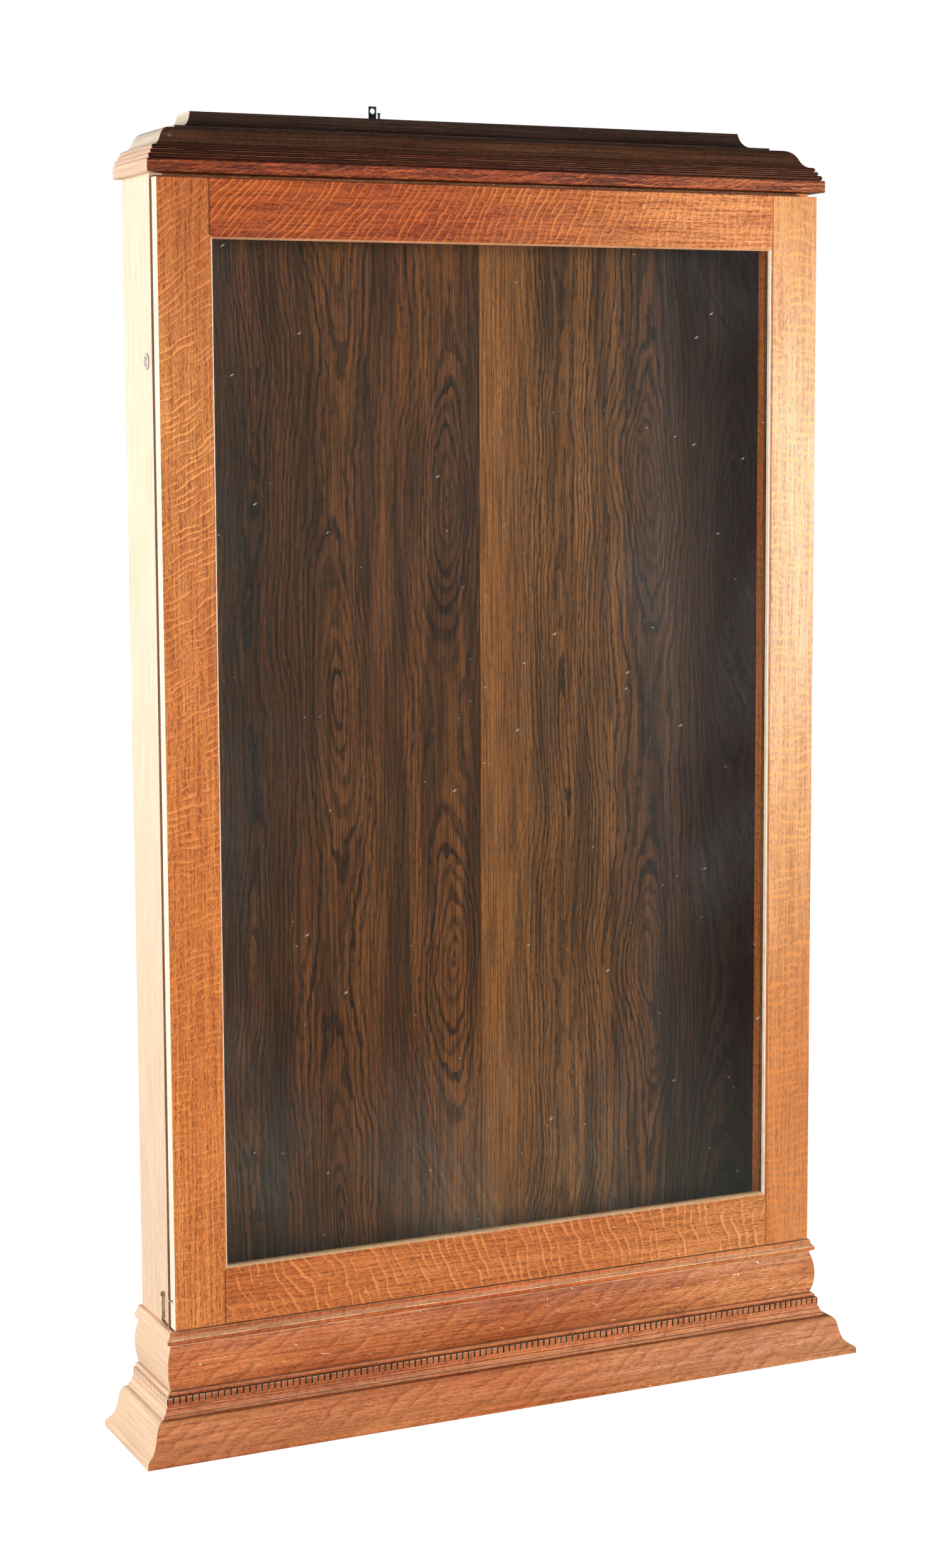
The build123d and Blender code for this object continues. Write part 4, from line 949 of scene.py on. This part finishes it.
# ---------------------------------------------------------------- floor
def floor_paper():
    """Pale paper that glows to the camera and merges into the white surroundings."""
    material = open_material("floor_paper")
    position = object_position()
    x, y, _ = split(position)
    color = mix(noise(position, scale=0.8, detail=3), (0.93, 0.93, 0.93), (0.96, 0.96, 0.955))
    paper = node("ShaderNodeBsdfDiffuse", {0: scale_vector(color, 0.55)})
    rays = tree.nodes.new("ShaderNodeLightPath").outputs
    glow_amt = Value(rays["Is Camera Ray"]) * step(radius(x, y), 1.0, 3.2, 0.92, 1.0)
    glow = node("ShaderNodeEmission", {1: glow_amt})
    lit_paper = node("ShaderNodeAddShader", {0: paper, 1: glow})
    # reflections see it as bright as the horizon
    reflected = node("ShaderNodeEmission", {1: WORLD_SIDE})
    surface(mix_shaders(Value(rays["Is Glossy Ray"]), lit_paper, reflected))
    return material


def add_floor():
    """Wide round floor just under the cabinet."""
    corners, reach, floor_z = 96, 30.0, -0.0002
    angles = [2 * math.pi * i / corners for i in range(corners)]
    mesh = bpy.data.meshes.new("floor")
    mesh.from_pydata([(reach * math.cos(a), reach * math.sin(a), floor_z) for a in angles],
                     [], [tuple(range(corners))])
    floor = bpy.data.objects.new("floor", mesh)
    scene.collection.objects.link(floor)
    mesh.materials.append(floor_paper())


add_floor()


# ---------------------------------------------------------------- lights
def area(name, at, target, size, power, color, glossy=False):
    """Rectangular light (width, height) aimed at the target; glossy lets it show in gloss."""
    light = bpy.data.lights.new(name, "AREA")
    light.energy = power
    light.color = color
    light.shape = "RECTANGLE"
    light.size, light.size_y = size
    lamp = bpy.data.objects.new(name, light)
    scene.collection.objects.link(lamp)
    lamp.location = at
    aim = Vector(target) - Vector(at)
    lamp.rotation_euler = aim.to_track_quat("-Z", "Y").to_euler()
    lamp.visible_camera = False
    lamp.visible_glossy = glossy
    return lamp


def light_only(lamp, name, pieces):
    receivers = bpy.data.collections.new(name)
    for piece in pieces:
        receivers.objects.link(piece)
    lamp.light_linking.receiver_collection = receivers


def on_right_flank(piece):
    inside = ("board_right", "stop_right", "bead_right")
    outside = piece.name.endswith("_right") or "hinge" in piece.name
    return outside and not piece.name.endswith(inside)


NEAR_WHITE = (1.0, 0.99, 0.97)
area("key_left", at=(-3.2, 0.35, 1.3), target=(-0.5, 0.0, 0.95), size=(2.2, 2.4), power=108,
     color=NEAR_WHITE, glossy=True)
area("front_fill", at=(0.6, -4.4, 1.25), target=(0, 0, 0.85), size=(2.6, 1.8), power=158,
     color=(1.0, 0.985, 0.965))
area("back_fill", at=(-1.2, 4.8, 1.7), target=(0, 0, 0.9), size=(3.0, 2.2), power=110,
     color=(1, 1, 1))
# sheen from the right front on everything but the glass
sheen = area("sheen_right", at=(2.75, -3.75, 1.32), target=(0.46, 0, 1.2), size=(0.8, 1.1),
             power=60, color=NEAR_WHITE, glossy=True)
meshes = [piece for piece in bpy.data.objects if piece.type == "MESH"]
light_only(sheen, "sheen_on", [p for p in meshes if p is not NODES["door_glass"]])
# warm light from the left front for the right-hand stop and side panel seen through the glass
inner = area("inner_right", at=(-2.6, -3.0, 1.2), target=(0.47, 0.0, 0.95), size=(1.2, 1.6),
             power=150, color=(1.0, 0.84, 0.66))
light_only(inner, "inner_on",
           [bpy.data.objects["v_" + name] for name in ("door_stop_right", "side_panel_right")])
# soft light for the right-hand side, which the camera does not see
flank = area("flank_right", at=(3.4, 0.9, 1.2), target=(0.5, 0.0, 0.95), size=(2.0, 2.2),
             power=62, color=NEAR_WHITE)
light_only(flank, "flank_on", [p for p in meshes if on_right_flank(p)])

# ---------------------------------------------------------------- camera
# yaw turns from +Y towards +X
yaw, pitch, roll = (math.radians(a) for a in (24.359961, -6.466101, -0.345149))
forward = Vector((math.sin(yaw) * math.cos(pitch), math.cos(yaw) * math.cos(pitch),
                  math.sin(pitch)))
level_right = Vector((math.cos(yaw), -math.sin(yaw), 0.0))
level_up = level_right.cross(forward)
right = level_right * math.cos(roll) + level_up * math.sin(roll)
up = level_up * math.cos(roll) - level_right * math.sin(roll)

lens = bpy.data.cameras.new("camera")
lens.sensor_width = 36.0
lens.lens = 64.067142857
lens.shift_x = 0.0191492777
lens.shift_y = -0.0310393258
lens.clip_end = 100.0
camera = bpy.data.objects.new("camera", lens)
scene.collection.objects.link(camera)
camera.matrix_world = Matrix((
    (right.x, up.x, -forward.x, -1.68552594),
    (right.y, up.y, -forward.y, -3.48927828 + DATUM_Y),
    (right.z, up.z, -forward.z, 1.22657485 + DATUM_Z),
    (0, 0, 0, 1)))
scene.camera = camera
